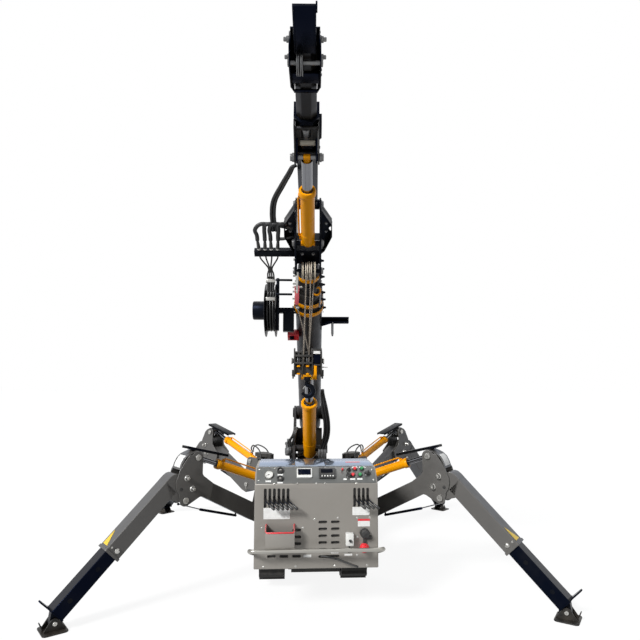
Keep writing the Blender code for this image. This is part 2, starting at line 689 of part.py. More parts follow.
def leg_arm():
    """Box arm from the post's pin up to the two knuckle plates, with the rod guard on top."""
    run = Vector((ARM_END[0] - ARM_PIN[0], ARM_END[1] - ARM_PIN[1]))
    normal = Vector((-run.y, run.x)).normalized() * ARM_DEPTH / 2
    end = Vector(ARM_END)
    slope = run.normalized()
    tip = end + slope * 0.010
    outline = hull([(*ARM_PIN, 0.050), (*(end + normal), 0.0), (*(end - normal), 0.0),
                    (*(tip + normal * 0.8), 0.0), (*(tip - normal * 0.8), 0.0)])
    beam = flat([outline], -ARM_WIDTH / 2, ARM_WIDTH / 2, "XZ")
    plates = []
    inner = LEG_WIDTH / 2 + RUNNING
    knuckle = hull([(*KNUCKLE_TOP, 0.045), KNUCKLE_MIDDLE, (*KNUCKLE_PIN, 0.040), *KNUCKLE_ROOT])
    for side in (-1, 1):
        low, high = sorted((side * inner, side * (inner + PLATE)))
        plates.append(flat([knuckle], low, high, "XZ"))
        low, high = sorted((side * (ARM_WIDTH / 2 - 0.004), side * (inner + 0.004)))
        doubler = hull([(0.610, 0.795, 0.0), (0.655, 0.822, 0.0), (0.655, 0.700, 0.0), (0.640, 0.680, 0.0)])
        plates.append(flat([doubler], low, high, "XZ"))
        for point in (KNUCKLE_TOP, KNUCKLE_PIN):
            plates.append(crosswise(*point, PIN_HEAD / 2 + 0.001, 0.020, PIN_SIDES, side * (inner + PLATE + PIN_HEAD / 2)))
    plates.append(crosswise(*KNUCKLE_PIN, inner + PLATE / 2, PIN_RADIUS, PIN_SIDES))
    guard = block((0, -GUARD_WIDTH / 2, -GUARD_SHEET / 2), (GUARD_LENGTH, GUARD_WIDTH / 2, GUARD_SHEET / 2))
    guard = moved(tilted(guard, (0, 0, 0), -GUARD_SLOPE, "Y"), Matrix.Translation(plane_point(GUARD_START)))
    x, z = KNUCKLE_TOP
    bridge = block((x - BRIDGE_BACK, -inner - 0.002, z + BRIDGE_UP),
                   (x + BRIDGE_FRONT, inner + 0.002, z + BRIDGE_UP + BRIDGE_THICK))
    ears = [block((x - BRIDGE_BACK + 0.002, side * (inner + 0.002) - 0.004, z + 0.024),
                  (x + BRIDGE_FRONT - 0.002, side * (inner + 0.002) + 0.004, z + BRIDGE_UP + BRIDGE_THICK - 0.004))
            for side in (-1, 1)]
    bore = crosswise(*ARM_PIN, ARM_WIDTH, bore_radius(PIN_RADIUS - SKIN), PIN_SIDES)
    return [beam, knuckle_cap(inner)] + plates + [guard, bridge] + ears, [bore]


def leg_outer():
    """Hollow outer leg on the knuckle pin, open at its collar."""
    end = COLLAR_AT
    head = [down_the_leg(0.030), down_the_leg(0.004, -0.010), down_the_leg(-0.018, -0.032), down_the_leg(-0.030, -0.062)]
    low_corner = down_the_leg(0.120, -LEG_DEPTH)
    outline = [*head[::-1], down_the_leg(end), down_the_leg(end, -LEG_DEPTH), low_corner,
               (KNUCKLE_PIN[0] + 0.036, KNUCKLE_PIN[1] - 0.026), (KNUCKLE_PIN[0] + 0.004, KNUCKLE_PIN[1] - 0.036),
               (KNUCKLE_PIN[0] - 0.030, KNUCKLE_PIN[1] - 0.020), (KNUCKLE_PIN[0] - 0.034, KNUCKLE_PIN[1] + 0.030)]
    box = flat([outline], -LEG_WIDTH / 2, LEG_WIDTH / 2, "XZ")
    collar_outline = [down_the_leg(end - 0.030, 0.007), down_the_leg(end, 0.007),
                      down_the_leg(end, -LEG_DEPTH - 0.007), down_the_leg(end - 0.030, -LEG_DEPTH - 0.007)]
    collar = flat([collar_outline], -LEG_WIDTH / 2 - 0.007, LEG_WIDTH / 2 + 0.007, "XZ")
    wall = LEG_WALL
    hollows = []
    for low, high, skin in ((LEG_HEAD, end - 0.030, wall), (end - 0.035, end + 0.01, wall + SLIDE_GAP - SKIN)):
        outline = [down_the_leg(low, -skin), down_the_leg(high, -skin), down_the_leg(high, skin - LEG_DEPTH),
                   down_the_leg(low, skin - LEG_DEPTH)]
        hollows.append(flat([outline], skin - LEG_WIDTH / 2, LEG_WIDTH / 2 - skin, "XZ"))
    bore = crosswise(*KNUCKLE_PIN, LEG_WIDTH, bore_radius(PIN_RADIUS), PIN_SIDES)
    return [box, collar], [*hollows, bore]


def leg_slider():
    """Sliding box with the tongue that carries the foot."""
    gap = LEG_WALL + SLIDE_GAP
    start = COLLAR_AT - LEG_LENGTH_INSIDE
    foot_along = (Vector(FOOT_PIN) - Vector(LEG_TOP)).dot(Vector((math.cos(math.radians(LEG_SLOPE)),
                                                                 -math.sin(math.radians(LEG_SLOPE)))))
    end = foot_along - 0.055
    outline = [down_the_leg(start, -gap), down_the_leg(end, -gap), down_the_leg(end, gap - LEG_DEPTH),
               down_the_leg(start, gap - LEG_DEPTH)]
    box = flat([outline], gap - LEG_WIDTH / 2, LEG_WIDTH / 2 - gap, "XZ")
    near = down_the_leg(end - 0.010, -0.035)
    far = down_the_leg(end - 0.010, 0.035 - LEG_DEPTH)
    tongue = flat([hull([(*near, 0.0), (*far, 0.0), (*FOOT_PIN, 0.033)])], -TONGUE_WIDTH / 2, TONGUE_WIDTH / 2, "XZ")
    ear_at = down_the_leg(end - 0.060, -gap)
    ear = flat([hull([(ear_at[0], ear_at[1] - 0.002, 0.010), (ear_at[0] + 0.020, ear_at[1] + 0.040, 0.018)])],
               -0.006, 0.006, "XZ")
    bore = crosswise(*FOOT_PIN, TONGUE_WIDTH, bore_radius(FOOT_PIN_RADIUS), PIN_SIDES)
    return [box, tongue, ear], [bore]


def leg_foot():
    """Foot plate with the two ears and the pin that hold it under the leg."""
    inner = TONGUE_WIDTH / 2 + RUNNING
    x, z = FOOT_PIN
    shapes = [block((x - PAD_LENGTH / 2, -PAD_WIDTH / 2, 0), (x + PAD_LENGTH / 2, PAD_WIDTH / 2, PAD_THICK))]
    for side in (-1, 1):
        low, high = sorted((side * inner, side * (inner + PAD_EAR)))
        shapes.append(flat([hull([(x, z, 0.026), (x - 0.045, 0.004, 0.0), (x + 0.045, 0.004, 0.0)])], low, high, "XZ"))
    shapes.append(crosswise(x, z, inner + PAD_EAR + 0.008, FOOT_PIN_RADIUS, PIN_SIDES))
    return shapes


def ram_barrel(length, radius, eye, half_width, gland):
    """A cylinder's barrel along X from its eye, with the gland ring at its mouth and a bore for the rod."""
    shapes = [rod((0.020, 0, 0), (length, 0, 0), radius),
              rod((length - gland, 0, 0), (length, 0, 0), radius * 1.17),
              crosswise(0, 0, half_width, eye)]
    return shapes


def ram_rod(start, length, radius, eye, half_width):
    """A cylinder's rod along X with the eye at its end."""
    return [rod((start, 0, 0), (length - eye * 0.5, 0, 0), radius), crosswise(length, 0, half_width, eye)]


def build_ram(names, frames, total, barrel, inside, radius, rod_radius, eye, half_width, pin, sides):
    """Barrel and rod in their own frame, X from the fixed pin towards the rod's eye."""
    gland = radius * 0.6
    bore = rod((0.038, 0, 0), (barrel + 0.01, 0, 0), rod_radius + SKIN)
    pin_hole = crosswise(0, 0, half_width + 0.01, bore_radius(pin - SKIN, sides), sides)
    barrel_solid = solid(names[0], ORANGE_PAINT, frames[0],
                         ram_barrel(barrel, radius, eye, half_width, gland), [bore, pin_hole])
    rod_solid = solid(names[1], CHROME, frames[1],
                      ram_rod(barrel - inside, total, rod_radius, eye * 0.9, half_width * 0.9))
    return barrel_solid, rod_solid


def build_legs(carrier):
    first = {}
    reach, slope = ram_reach()
    for end, post, spread in (("front", FRONT_POST, FRONT_SPREAD), ("rear", REAR_POST, REAR_SPREAD)):
        for label, side in (("left", -1), ("right", 1)):
            name = end + "_" + label
            swing = leg_frame(name, carrier, side, post, spread)
            arm = frame(name + "_arm", swing, plane_point(ARM_PIN))
            fold = frame(name + "_fold", arm, plane_point(KNUCKLE_PIN) - plane_point(ARM_PIN))
            slide = frame(name + "_slide", fold, plane_point(FOOT_PIN) - plane_point(KNUCKLE_PIN))
            foot = frame(name + "_foot", slide)
            barrel = frame(name + "_ram", swing, plane_point(RAM_PIN), (0, -slope, 0))
            plunger = frame(name + "_rod", barrel)
            pieces = (("post", GREY_PAINT, swing, leg_post, (0, 0, 0)),
                      ("inner_arm", GREY_PAINT, arm, leg_arm, plane_point(ARM_PIN)),
                      ("outer_leg", GREY_PAINT, fold, leg_outer, plane_point(KNUCKLE_PIN)),
                      ("slider", BLACK_PAINT, slide, leg_slider, plane_point(FOOT_PIN)))
            for part, paint, carry, shape, at in pieces:
                node = part + "_" + name
                if part in first:
                    copied(first[part], node, carry)
                else:
                    add, cut = shape()
                    first[part] = solid(node, paint, carry, add, cut, at)
            if "foot" in first:
                copied(first["foot"], "foot_" + name, foot)
                copied(first["ram"][0], "ram_barrel_" + name, barrel)
                copied(first["ram"][1], "ram_rod_" + name, plunger)
            else:
                first["foot"] = solid("foot_" + name, BLACK_PAINT, foot, leg_foot(), (), plane_point(FOOT_PIN))
                first["ram"] = build_ram(("ram_barrel_" + name, "ram_rod_" + name), (barrel, plunger), reach,
                                         RAM_BARREL, RAM_INSIDE, RAM_RADIUS, RAM_ROD, 0.030, 0.030, PIN_RADIUS, PIN_SIDES)


# Superstructure

def boom_xyz(s, t, x=0.0):
    """A place in the boom's frame: s along the boom, t below its centre line."""
    return Vector((x, -s, -t))


def boom_in_slew(s, t):
    """The same place in the slew frame's y and z."""
    angle = math.radians(BOOM_ANGLE)
    return (BOOM_PIVOT[0] - s * math.cos(angle) - t * math.sin(angle),
            BOOM_PIVOT[1] + s * math.sin(angle) - t * math.cos(angle))


def build_column(slew):
    lug = (BOOM_PIVOT[0], BOOM_PIVOT[1], 0.065)
    foot = (LUFF_FOOT[0], LUFF_FOOT[1], 0.055)
    outline = hull([lug, foot, (-0.150, 0.600, 0.0), (0.230, 0.600, 0.0), (0.300, 0.800, 0.05)])
    base = PEDESTAL_TOP + SKIN
    shapes = [rod((0, 0, base), (0, 0, base + COLUMN_BASE + 0.030), SLEW_RADIUS, ROUND_FINE)]
    for side in (-1, 1):
        low, high = sorted((side * CHEEK_GAP / 2, side * (CHEEK_GAP / 2 + CHEEK)))
        shapes.append(flat([outline], low, high))
        for point in (BOOM_PIVOT, LUFF_FOOT):
            shapes.append(across(*point, 0.008, 0.045, ROUND_FINE, side * (CHEEK_GAP / 2 + CHEEK + 0.004)))
    for point, radius in ((BOOM_PIVOT, BOOM_PIN_RADIUS), (LUFF_FOOT, BOOM_PIN_RADIUS), (WINCH_AT, WINCH_AXLE)):
        shapes.append(across(*point, CHEEK_GAP / 2 + CHEEK / 2, radius - SKIN, ROUND_FINE))
    shapes.append(block((-CHEEK_GAP / 2 - 0.001, -0.145, 0.600), (CHEEK_GAP / 2 + 0.001, -0.125, 0.640)))
    shapes.append(block((-CHEEK_GAP / 2 - 0.001, 0.200, 0.600), (CHEEK_GAP / 2 + 0.001, 0.215, 0.690)))
    solid("column", DARK_PAINT, slew, shapes)


def boom_outline(width, height):
    """U-shaped boom section in x and z: flat top with cut corners, round bottom."""
    half, top = width / 2, height / 2
    corner = 0.020
    arc_centre = half - top
    points = [(half, arc_centre), (half, top - corner), (half - corner, top), (corner - half, top), (-half, top - corner),
              (-half, arc_centre)]
    for k in range(1, 10):
        angle = math.pi + math.pi * k / 10
        points.append((half * math.cos(angle), arc_centre + half * math.sin(angle)))
    return points


def section_size(index):
    """Outer width and height of a section; each one slides in the one before."""
    shrink = index * 2 * (BOOM_WALL + SLIDE_GAP)
    return BOOM_WIDTH - shrink, BOOM_HEIGHT - shrink


def boom_bar(index, low, high, grow=0.0):
    """Outside of section index from s = low to s = high, grown by grow."""
    width, height = section_size(index)
    return flat([boom_outline(width + 2 * grow, height + 2 * grow)], -high, -low, "XZ")


def boom_cavity(index, low, high):
    """The room inside section index: wide behind, and a close fit for the next section at its collar."""
    return [boom_bar(index, low - 0.01, high - COLLAR_LENGTH, -BOOM_WALL),
            boom_bar(index + 1, high - COLLAR_LENGTH - 0.01, high + 0.01, SKIN)]


def collar_end(index):
    return BOOM_LENGTH + index * SECTION_STEP


def guide_cone(index):
    """Cone that guides the hoses, on the right of a section's collar."""
    x = section_size(index)[0] / 2 + COLLAR_RIM
    s = collar_end(index) - COLLAR_LENGTH / 2
    return rod((x - 0.006, -s, -CONE_T), (x + CONE_LENGTH, -s, -CONE_T), CONE_RADIUS, 8, CONE_RADIUS * 0.4)


def build_boom(slew):
    boom = frame("boom_luff", slew, (0, *BOOM_PIVOT), (-BOOM_ANGLE, 0, 0))
    end = collar_end(0)
    shapes = [boom_bar(0, -BOOM_TAIL, end), boom_bar(0, end - COLLAR_LENGTH, end, COLLAR_RIM)]
    half = BOOM_WIDTH / 2
    for side in (-1, 1):
        low, high = sorted((side * (half - 0.002), side * (CHEEK_GAP / 2 - RUNNING)))
        shapes.append(across(0, 0, (high - low) / 2, 0.060, ROUND_FINE, (low + high) / 2))
        s, t = LUFF_EYE
        low, high = sorted((side * 0.052, side * 0.068))
        ear = hull([(-s, -t, 0.045), (-s - 0.10, -BOOM_HEIGHT / 2 + 0.030, 0.0), (-s + 0.10, -BOOM_HEIGHT / 2 + 0.030, 0.0)])
        shapes.append(flat([ear], low, high))
        shapes.append(across(-s, -t, 0.006, 0.030, ROUND_FINE, side * 0.072))
    shapes.append(block((REEL_X + 0.001, -REEL_AT[0] - 0.030, -REEL_AT[1] - 0.130),
                        (-half + BOOM_WALL, -REEL_AT[0] + 0.030, -REEL_AT[1] + 0.035)))
    shapes.append(across(-REEL_AT[0], -REEL_AT[1], 0.075, REEL_AXLE, ROUND_FINE, REEL_X - 0.036))
    arm_s, arm_top = SIDE_ARM
    shapes.append(block((half - 0.004, -arm_s - 0.040, arm_top - 0.006), (half + SIDE_ARM_REACH, -arm_s + 0.030, arm_top)))
    shapes.append(block((half - 0.004, -arm_s - 0.004, arm_top - 0.055), (half + SIDE_ARM_REACH, -arm_s + 0.004, arm_top - 0.003)))
    shapes.append(guide_cone(0))
    bore = across(0, 0, 0.3, bore_radius(BOOM_PIN_RADIUS - SKIN, ROUND_FINE), ROUND_FINE)
    solid("boom_base", DARK_PAINT, boom, shapes, boom_cavity(0, -BOOM_TAIL, end) + [bore])

    carry = boom
    for index in range(1, SECTION_COUNT + 1):
        end = collar_end(index)
        back = carry.get("collar", 0.0)
        carry = frame("boom_slide_%d" % (index + 1), carry, boom_xyz(end - back, 0.0))
        carry["collar"] = end
        if index < SECTION_COUNT:
            shapes = [boom_bar(index, end - SECTION_LAP, end), boom_bar(index, end - COLLAR_LENGTH, end, COLLAR_RIM),
                      guide_cone(index)]
            cavity = boom_cavity(index, end - SECTION_LAP, end)
            solid("boom_section_%d" % (index + 1), DARK_PAINT, carry, shapes, cavity, boom_xyz(end, 0.0))
    return boom, carry


def build_head(carry):
    """The last section with the boom head that carries the sheaves, the jib pin and its cylinder's foot."""
    end = collar_end(SECTION_COUNT)
    shapes = [boom_bar(SECTION_COUNT, end - SECTION_LAP, end + 0.020)]
    shapes.append(block((-HEAD_HALF - 0.002, -HEAD_BOX_END, -0.095), (HEAD_HALF + 0.002, -end - 0.001, 0.095)))
    for side in (-1, 1):
        low, high = sorted((side * HEAD_HALF, side * (HEAD_HALF + HEAD_PLATE)))
        s, t = HEAD_SHEAVE
        cheek = hull([(-JIB_PIVOT[0], -JIB_PIVOT[1], 0.045), (-JIB_RAM_FOOT[0], -JIB_RAM_FOOT[1] - 0.010, 0.045),
                      (-end + 0.020, 0.110, 0.0), (-s, -t, 0.035), (-end - 0.010, -0.10, 0.0)])
        shapes.append(flat([cheek], low, high))
    for side in (-1, 1):
        outside = [(side * x, -HEAD_AT - s) for s, x in WING]
        inside = [(x - side * WING_SHEET, y) for x, y in outside]
        shapes.append(flat([outside + inside[::-1]], -WING_HALF, WING_HALF, "XY"))
    pin_half = HEAD_HALF + HEAD_PLATE + PIN_HEAD
    shapes.append(across(-HEAD_SHEAVE[0], -HEAD_SHEAVE[1], pin_half, HEAD_SHEAVE_PIN, ROUND_FINE))
    shapes.append(across(-JIB_PIVOT[0], -JIB_PIVOT[1], pin_half, PIN_RADIUS, PIN_SIDES))
    shapes.append(across(-JIB_RAM_FOOT[0], -JIB_RAM_FOOT[1], pin_half, PIN_RADIUS, PIN_SIDES))
    manifold = block((-HEAD_HALF - HEAD_PLATE - 0.240, -end - 0.050, -0.015), (-HEAD_HALF - 0.004, -end - 0.015, 0.020))
    shapes.append(manifold)
    solid("boom_head", BLACK_PAINT, carry, shapes, (), boom_xyz(end, 0.0))


def sheave_profile(count, radius, bore):
    """Grooved sheaves side by side on one hub, as a closed (x, radius) profile."""
    half = count * SHEAVE_WIDTH / 2
    points = [(-half, bore)]
    for k in range(count):
        x = -half + k * SHEAVE_WIDTH
        points += [(x + 0.002, radius), (x + SHEAVE_WIDTH / 2 - 0.002, radius - GROOVE),
                   (x + SHEAVE_WIDTH / 2 + 0.002, radius - GROOVE), (x + SHEAVE_WIDTH - 0.002, radius)]
        if k < count - 1:
            points.append((x + SHEAVE_WIDTH, radius - 0.030))
    points.append((half, bore))
    return points


def build_sheaves(carry):
    end = collar_end(SECTION_COUNT)
    spin = frame("head_sheave_spin", carry, boom_xyz(*HEAD_SHEAVE) - boom_xyz(end, 0.0))
    solid("head_sheaves", CREAM, spin, [turned(sheave_profile(SHEAVE_COUNT, SHEAVE_RADIUS, bore_radius(HEAD_SHEAVE_PIN, ROUND_FINE)), ROUND_FINE)])
    return spin


def jib_in_boom(a, t):
    """A place in the jib's own frame, a along it and t below its centre line, as s and t of the boom."""
    drop = math.radians(BOOM_ANGLE - JIB_ANGLE)
    return (JIB_PIVOT[0] + a * math.cos(drop) - t * math.sin(drop), JIB_PIVOT[1] + a * math.sin(drop) + t * math.cos(drop))


def jib_outline(width):
    half, cut = width / 2, width * 0.26
    return [(half, cut - half), (half, half), (-half, half), (-half, cut - half), (cut - half, -half), (half - cut, -half)]


def build_jib(carry):
    end = collar_end(SECTION_COUNT)
    jib = frame("jib_luff", carry, boom_xyz(*JIB_PIVOT) - boom_xyz(end, 0.0), (BOOM_ANGLE - JIB_ANGLE, 0, 0))
    wall = 0.004
    cavity = flat([jib_outline(JIB_WIDTH - 2 * wall)], -JIB_LENGTH + 0.028, -0.100, "XZ")
    mouth = flat([jib_outline(JIB_WIDTH - 2 * wall - 2 * SLIDE_GAP + 2 * SKIN)], -JIB_LENGTH - 0.01, -JIB_LENGTH + 0.03, "XZ")
    shapes = [flat([jib_outline(JIB_WIDTH)], -JIB_LENGTH, -0.060, "XZ"),
              flat([jib_outline(JIB_WIDTH + 0.014)], -JIB_LENGTH, -JIB_LENGTH + 0.028, "XZ"),
              across(0, 0, HEAD_HALF - RUNNING, 0.036, ROUND_FINE)]
    for side in (-1, 1):
        low, high = sorted((side * (JIB_WIDTH / 2 - 0.012), side * (JIB_WIDTH / 2 - 0.001)))
        shapes.append(flat([hull([(0, 0, 0.034), (-0.100, 0.045, 0.0), (-0.100, -0.045, 0.0)])], low, high))
        a, t = JIB_RAM_EYE
        low, high = sorted((side * (JIB_WIDTH / 2 - 0.012), side * (JIB_WIDTH / 2 - 0.002)))
        ear = hull([(-a, -t, 0.036), (-a - 0.09, -JIB_WIDTH / 2 + 0.030, 0.0), (-a + 0.09, -JIB_WIDTH / 2 + 0.030, 0.0)])
        shapes.append(flat([ear], low, high))
        shapes.append(across(-a, -t, 0.007, 0.022, ROUND_FINE, side * (JIB_WIDTH / 2 + 0.004)))
    bore = across(0, 0, 0.3, bore_radius(PIN_RADIUS), PIN_SIDES)
    solid("jib_base", BLACK_PAINT, jib, shapes, [cavity, mouth, bore])

    slide = frame("jib_slide", jib, (0, -JIB_LENGTH, 0))
    wide = JIB_WIDTH - 2 * wall - 2 * SLIDE_GAP
    outer, inner = jib_outline(wide), jib_outline(wide - 2 * wall)
    shapes = [flat([outer, inner], -JIB_EXT_END, -JIB_LENGTH + 0.600, "XZ")]
    for side in (-1, 1):
        low, high = sorted((side * (wide / 2 - 0.001), side * (wide / 2 + 0.010)))
        cheek = hull([(-JIB_EXT_END + 0.050, 0.050, 0.0), (-JIB_EXT_END + 0.050, -0.055, 0.0), (-JIB_REACH + 0.030, 0.040, 0.030),
                      (-JIB_REACH + 0.060, -0.050, 0.0)])
        shapes.append(flat([cheek], low, high))
    shapes.append(block((-wide / 2, -JIB_REACH + 0.004, 0.020), (wide / 2, -JIB_EXT_END + 0.01, 0.052)))
    shapes.append(across(-JIB_REACH + 0.300, -0.010, wide / 2 + 0.015, 0.012, ROUND_FINE))
    solid("jib_extension", BLACK_PAINT, slide, shapes, (), (0, -JIB_LENGTH, 0))
    return jib


def build_luff_ram(slew):
    foot = Vector((0, *LUFF_FOOT))
    tip = Vector((0, *boom_in_slew(*LUFF_EYE)))
    run = tip - foot
    rise = math.degrees(math.atan2(run.z, -run.y))
    turn = Matrix.Rotation(math.radians(-rise), 4, "X") @ Matrix.Rotation(math.radians(-90), 4, "Z")
    barrel = frame("luff_ram", slew, foot)
    barrel.rotation_euler = turn.to_euler()
    plunger = frame("luff_rod", barrel)
    build_ram(("luff_barrel", "luff_rod"), (barrel, plunger), run.length, LUFF_BARREL, LUFF_INSIDE, LUFF_RADIUS,
              LUFF_ROD, 0.045, 0.050, BOOM_PIN_RADIUS, ROUND_FINE)


def build_jib_ram(carry):
    end = collar_end(SECTION_COUNT)
    foot = boom_xyz(*JIB_RAM_FOOT)
    tip = boom_xyz(*jib_in_boom(*JIB_RAM_EYE))
    run = tip - foot
    rise = math.degrees(math.atan2(run.z, -run.y))
    turn = Matrix.Rotation(math.radians(-rise), 4, "X") @ Matrix.Rotation(math.radians(-90), 4, "Z")
    barrel = frame("jib_ram", carry, foot - boom_xyz(end, 0.0))
    barrel.rotation_euler = turn.to_euler()
    plunger = frame("jib_rod", barrel)
    build_ram(("jib_barrel", "jib_rod"), (barrel, plunger), run.length, JIB_RAM_BARREL, JIB_RAM_INSIDE, JIB_RAM_RADIUS,
              JIB_RAM_ROD, 0.034, 0.046, PIN_RADIUS, PIN_SIDES)


def build_hook(carry):
    """Hook block and hook, hanging plumb under the head's sheaves on the falls of one rope."""
    end = collar_end(SECTION_COUNT)
    plumb = frame("hook_swing", carry, boom_xyz(*HEAD_SHEAVE) - boom_xyz(end, 0.0), (BOOM_ANGLE, 0, 0))
    z = -BLOCK_DROP
    low, high = z - BLOCK_HEIGHT / 2, z + BLOCK_HEIGHT / 2
    half = BLOCK_WIDTH / 2
    shapes = []
    round_end = BLOCK_DEPTH / 2
    for x in (-half, -0.036, 0.026, half - 0.010):
        shapes.append(flat([hull([(0, high - round_end, round_end), (0, low + round_end, round_end)])], x, x + 0.010))
    pin_z = z + BLOCK_SHEAVE_UP
    shapes.append(across(0, pin_z, half - 0.002, 0.014))
    shapes.append(moved(turned(sheave_profile(1, SHEAVE_RADIUS, 0.010), ROUND_FINE), Matrix.Translation((0, 0, pin_z))))
    shapes.append(block((-half + 0.002, -0.035, low), (half - 0.002, 0.035, low + 0.040)))
    shapes.append(block((-half + 0.002, -0.010, high - 0.020), (half - 0.002, 0.010, high)))
    shapes.append(block((-0.028, -round_end - 0.002, high - 0.016), (-0.0065, 0.008, high - 0.002)))
    solid("hook_block", STEEL, plumb, shapes)
    swivel = frame("hook_swivel", plumb, (0, 0, low))
    bowl = 0.036
    eye_z = low - 0.095
    run = [Vector((0, 0, low - 0.030)), Vector((0, 0, eye_z + bowl + 0.012))]
    sizes = [1.0, 1.0]
    for k in range(11):
        angle = math.radians(110 - 26 * k)
        run.append(Vector((bowl * math.cos(angle), 0, eye_z + bowl * math.sin(angle))))
        sizes.append(1.0 + 0.25 * math.sin(math.pi * k / 10) - 0.055 * max(0, k - 5))
    shapes = [rod((0, 0, low - SKIN), (0, 0, low - 0.036), 0.020, 8), pipe(run, 0.011, sizes)]
    solid("hook", STEEL, swivel, shapes, (), (0, 0, low))
    build_rope(plumb, z)


def rope_turn(x, z, way):
    """Points of the rope's half turn over the top (way 1) or under the bottom (way -1) of a sheave."""
    steps = 8
    round_path = (SHEAVE_RADIUS - GROOVE + ROPE_RADIUS + SKIN) / math.cos(math.pi / steps / 2)
    turn = [math.pi * k / steps for k in range(steps + 1)]
    return [(x, -way * round_path * math.cos(angle), z + way * round_path * math.sin(angle)) for angle in turn]


def build_rope(plumb, block_z):
    """Three falls of the hoist rope: from the block over a head sheave, round the block's and up again."""
    pitch = SHEAVE_WIDTH
    first = rope_turn(-pitch / 2, 0.0, 1)
    under = rope_turn(0.0, block_z + BLOCK_SHEAVE_UP, -1)
    last = rope_turn(pitch / 2, 0.0, 1)
    anchor = (-pitch / 2, first[0][1], block_z + BLOCK_HEIGHT / 2 - 0.002 + SKIN)
    path = [anchor] + first + under[::-1] + last[:6]
    solid("hoist_rope", STEEL, plumb, [pipe(path, ROPE_RADIUS, None, 1)])


def build_winch(slew):
    spin = frame("winch_spin", slew, (0, *WINCH_AT))
    shapes = [across(0, 0, WINCH_LENGTH / 2, WINCH_RADIUS * 0.72)]
    for side in (-1, 1):
        shapes.append(across(0, 0, 0.006, WINCH_RADIUS, ROUND_FINE, side * (WINCH_LENGTH / 2 - 0.006)))
    bore = across(0, 0, WINCH_LENGTH, bore_radius(WINCH_AXLE - SKIN, ROUND_FINE), ROUND_FINE)
    solid("winch_drum", STEEL, spin, shapes, [bore])


def build_reel(boom):
    spin = frame("reel_spin", boom, boom_xyz(*REEL_AT, REEL_X))
    shapes = [across(0, 0, REEL_WIDTH / 2, REEL_INNER, ROUND_FINE, -REEL_WIDTH / 2)]
    for x in (-0.004, -REEL_WIDTH + 0.004):
        shapes.append(across(0, 0, 0.004, REEL_RADIUS, ROUND_FINE, x))
    bore = across(0, 0, 0.3, bore_radius(REEL_AXLE, ROUND_FINE), ROUND_FINE)
    solid("hose_reel", BLACK_PAINT, spin, shapes, [bore])


def build_all():
    carrier = frame("spider_crane_origin", None, (0, ORIGIN_Y, 0))
    build_chassis(carrier)
    for side in (-1, 1):
        build_track(side, carrier)
    build_console(carrier)
    build_legs(carrier)
    slew = frame("slew", carrier, (0, SLEW_Y, 0), (0, 0, SLEW_ANGLE))
    build_column(slew)
    boom, tip = build_boom(slew)
    build_head(tip)
    build_sheaves(tip)
    build_jib(tip)
    build_luff_ram(slew)
    build_jib_ram(tip)
    build_hook(tip)
    build_winch(slew)
    build_reel(boom)


build_all()
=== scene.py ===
# Spider crane on its four outriggers, boom raised over the console: finishes, hoses, controls and fittings.
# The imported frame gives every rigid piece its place. Metres, +Z up, the console faces -Y.

import json
import math

import bmesh
import bpy
from mathutils import Matrix, Vector

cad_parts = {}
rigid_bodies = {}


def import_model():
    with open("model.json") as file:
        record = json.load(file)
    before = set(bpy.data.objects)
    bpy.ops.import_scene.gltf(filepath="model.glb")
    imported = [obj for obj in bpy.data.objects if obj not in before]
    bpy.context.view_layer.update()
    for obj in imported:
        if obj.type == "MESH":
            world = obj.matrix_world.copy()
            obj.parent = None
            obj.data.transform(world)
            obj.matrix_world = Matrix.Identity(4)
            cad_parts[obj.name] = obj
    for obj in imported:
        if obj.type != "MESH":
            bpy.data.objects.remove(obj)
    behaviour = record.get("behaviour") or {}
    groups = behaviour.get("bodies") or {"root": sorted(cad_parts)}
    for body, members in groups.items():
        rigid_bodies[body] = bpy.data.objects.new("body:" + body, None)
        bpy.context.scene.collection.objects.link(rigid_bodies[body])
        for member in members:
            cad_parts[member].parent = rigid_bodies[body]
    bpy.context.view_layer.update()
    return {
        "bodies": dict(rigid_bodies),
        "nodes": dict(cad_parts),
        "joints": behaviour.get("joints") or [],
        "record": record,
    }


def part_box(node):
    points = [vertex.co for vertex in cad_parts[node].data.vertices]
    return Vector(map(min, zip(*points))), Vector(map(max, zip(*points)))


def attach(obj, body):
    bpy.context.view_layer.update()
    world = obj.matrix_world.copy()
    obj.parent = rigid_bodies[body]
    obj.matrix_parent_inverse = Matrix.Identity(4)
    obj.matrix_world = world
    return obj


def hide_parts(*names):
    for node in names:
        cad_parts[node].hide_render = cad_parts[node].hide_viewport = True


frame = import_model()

NODES = frame["nodes"]
JOINTS = {joint["name"]: joint for joint in frame["joints"]}
LEGS = ("front_left", "front_right", "rear_left", "rear_right")


# Camera, as the photograph was taken: standing height, five metres in front of the machine

CAMERA_AT = (-0.177, -4.482, 1.530)
CAMERA_PITCH = 5.89
CAMERA_YAW = 3.054
CAMERA_ROLL = 0.105
FOCAL_PIXELS = 557.165
FRAME_PIXELS = 640
SENSOR = 36.0


def place_camera():
    """The camera where the photograph was taken from."""
    pitch, yaw, roll = (math.radians(a) for a in (CAMERA_PITCH, CAMERA_YAW, CAMERA_ROLL))
    ahead = Vector((math.sin(yaw) * math.cos(pitch), math.cos(yaw) * math.cos(pitch), math.sin(pitch)))
    level = Vector((math.cos(yaw), -math.sin(yaw), 0))
    upright = level.cross(ahead)
    right = level * math.cos(roll) + upright * math.sin(roll)
    up = upright * math.cos(roll) - level * math.sin(roll)
    turn = Matrix((right, up, -ahead)).transposed().to_4x4()
    lens = bpy.data.cameras.new("camera")
    lens.sensor_width = SENSOR
    lens.lens = SENSOR * FOCAL_PIXELS / FRAME_PIXELS
    camera = bpy.data.objects.new("camera", lens)
    camera.matrix_world = Matrix.Translation(CAMERA_AT) @ turn
    bpy.context.scene.collection.objects.link(camera)
    bpy.context.scene.camera = camera


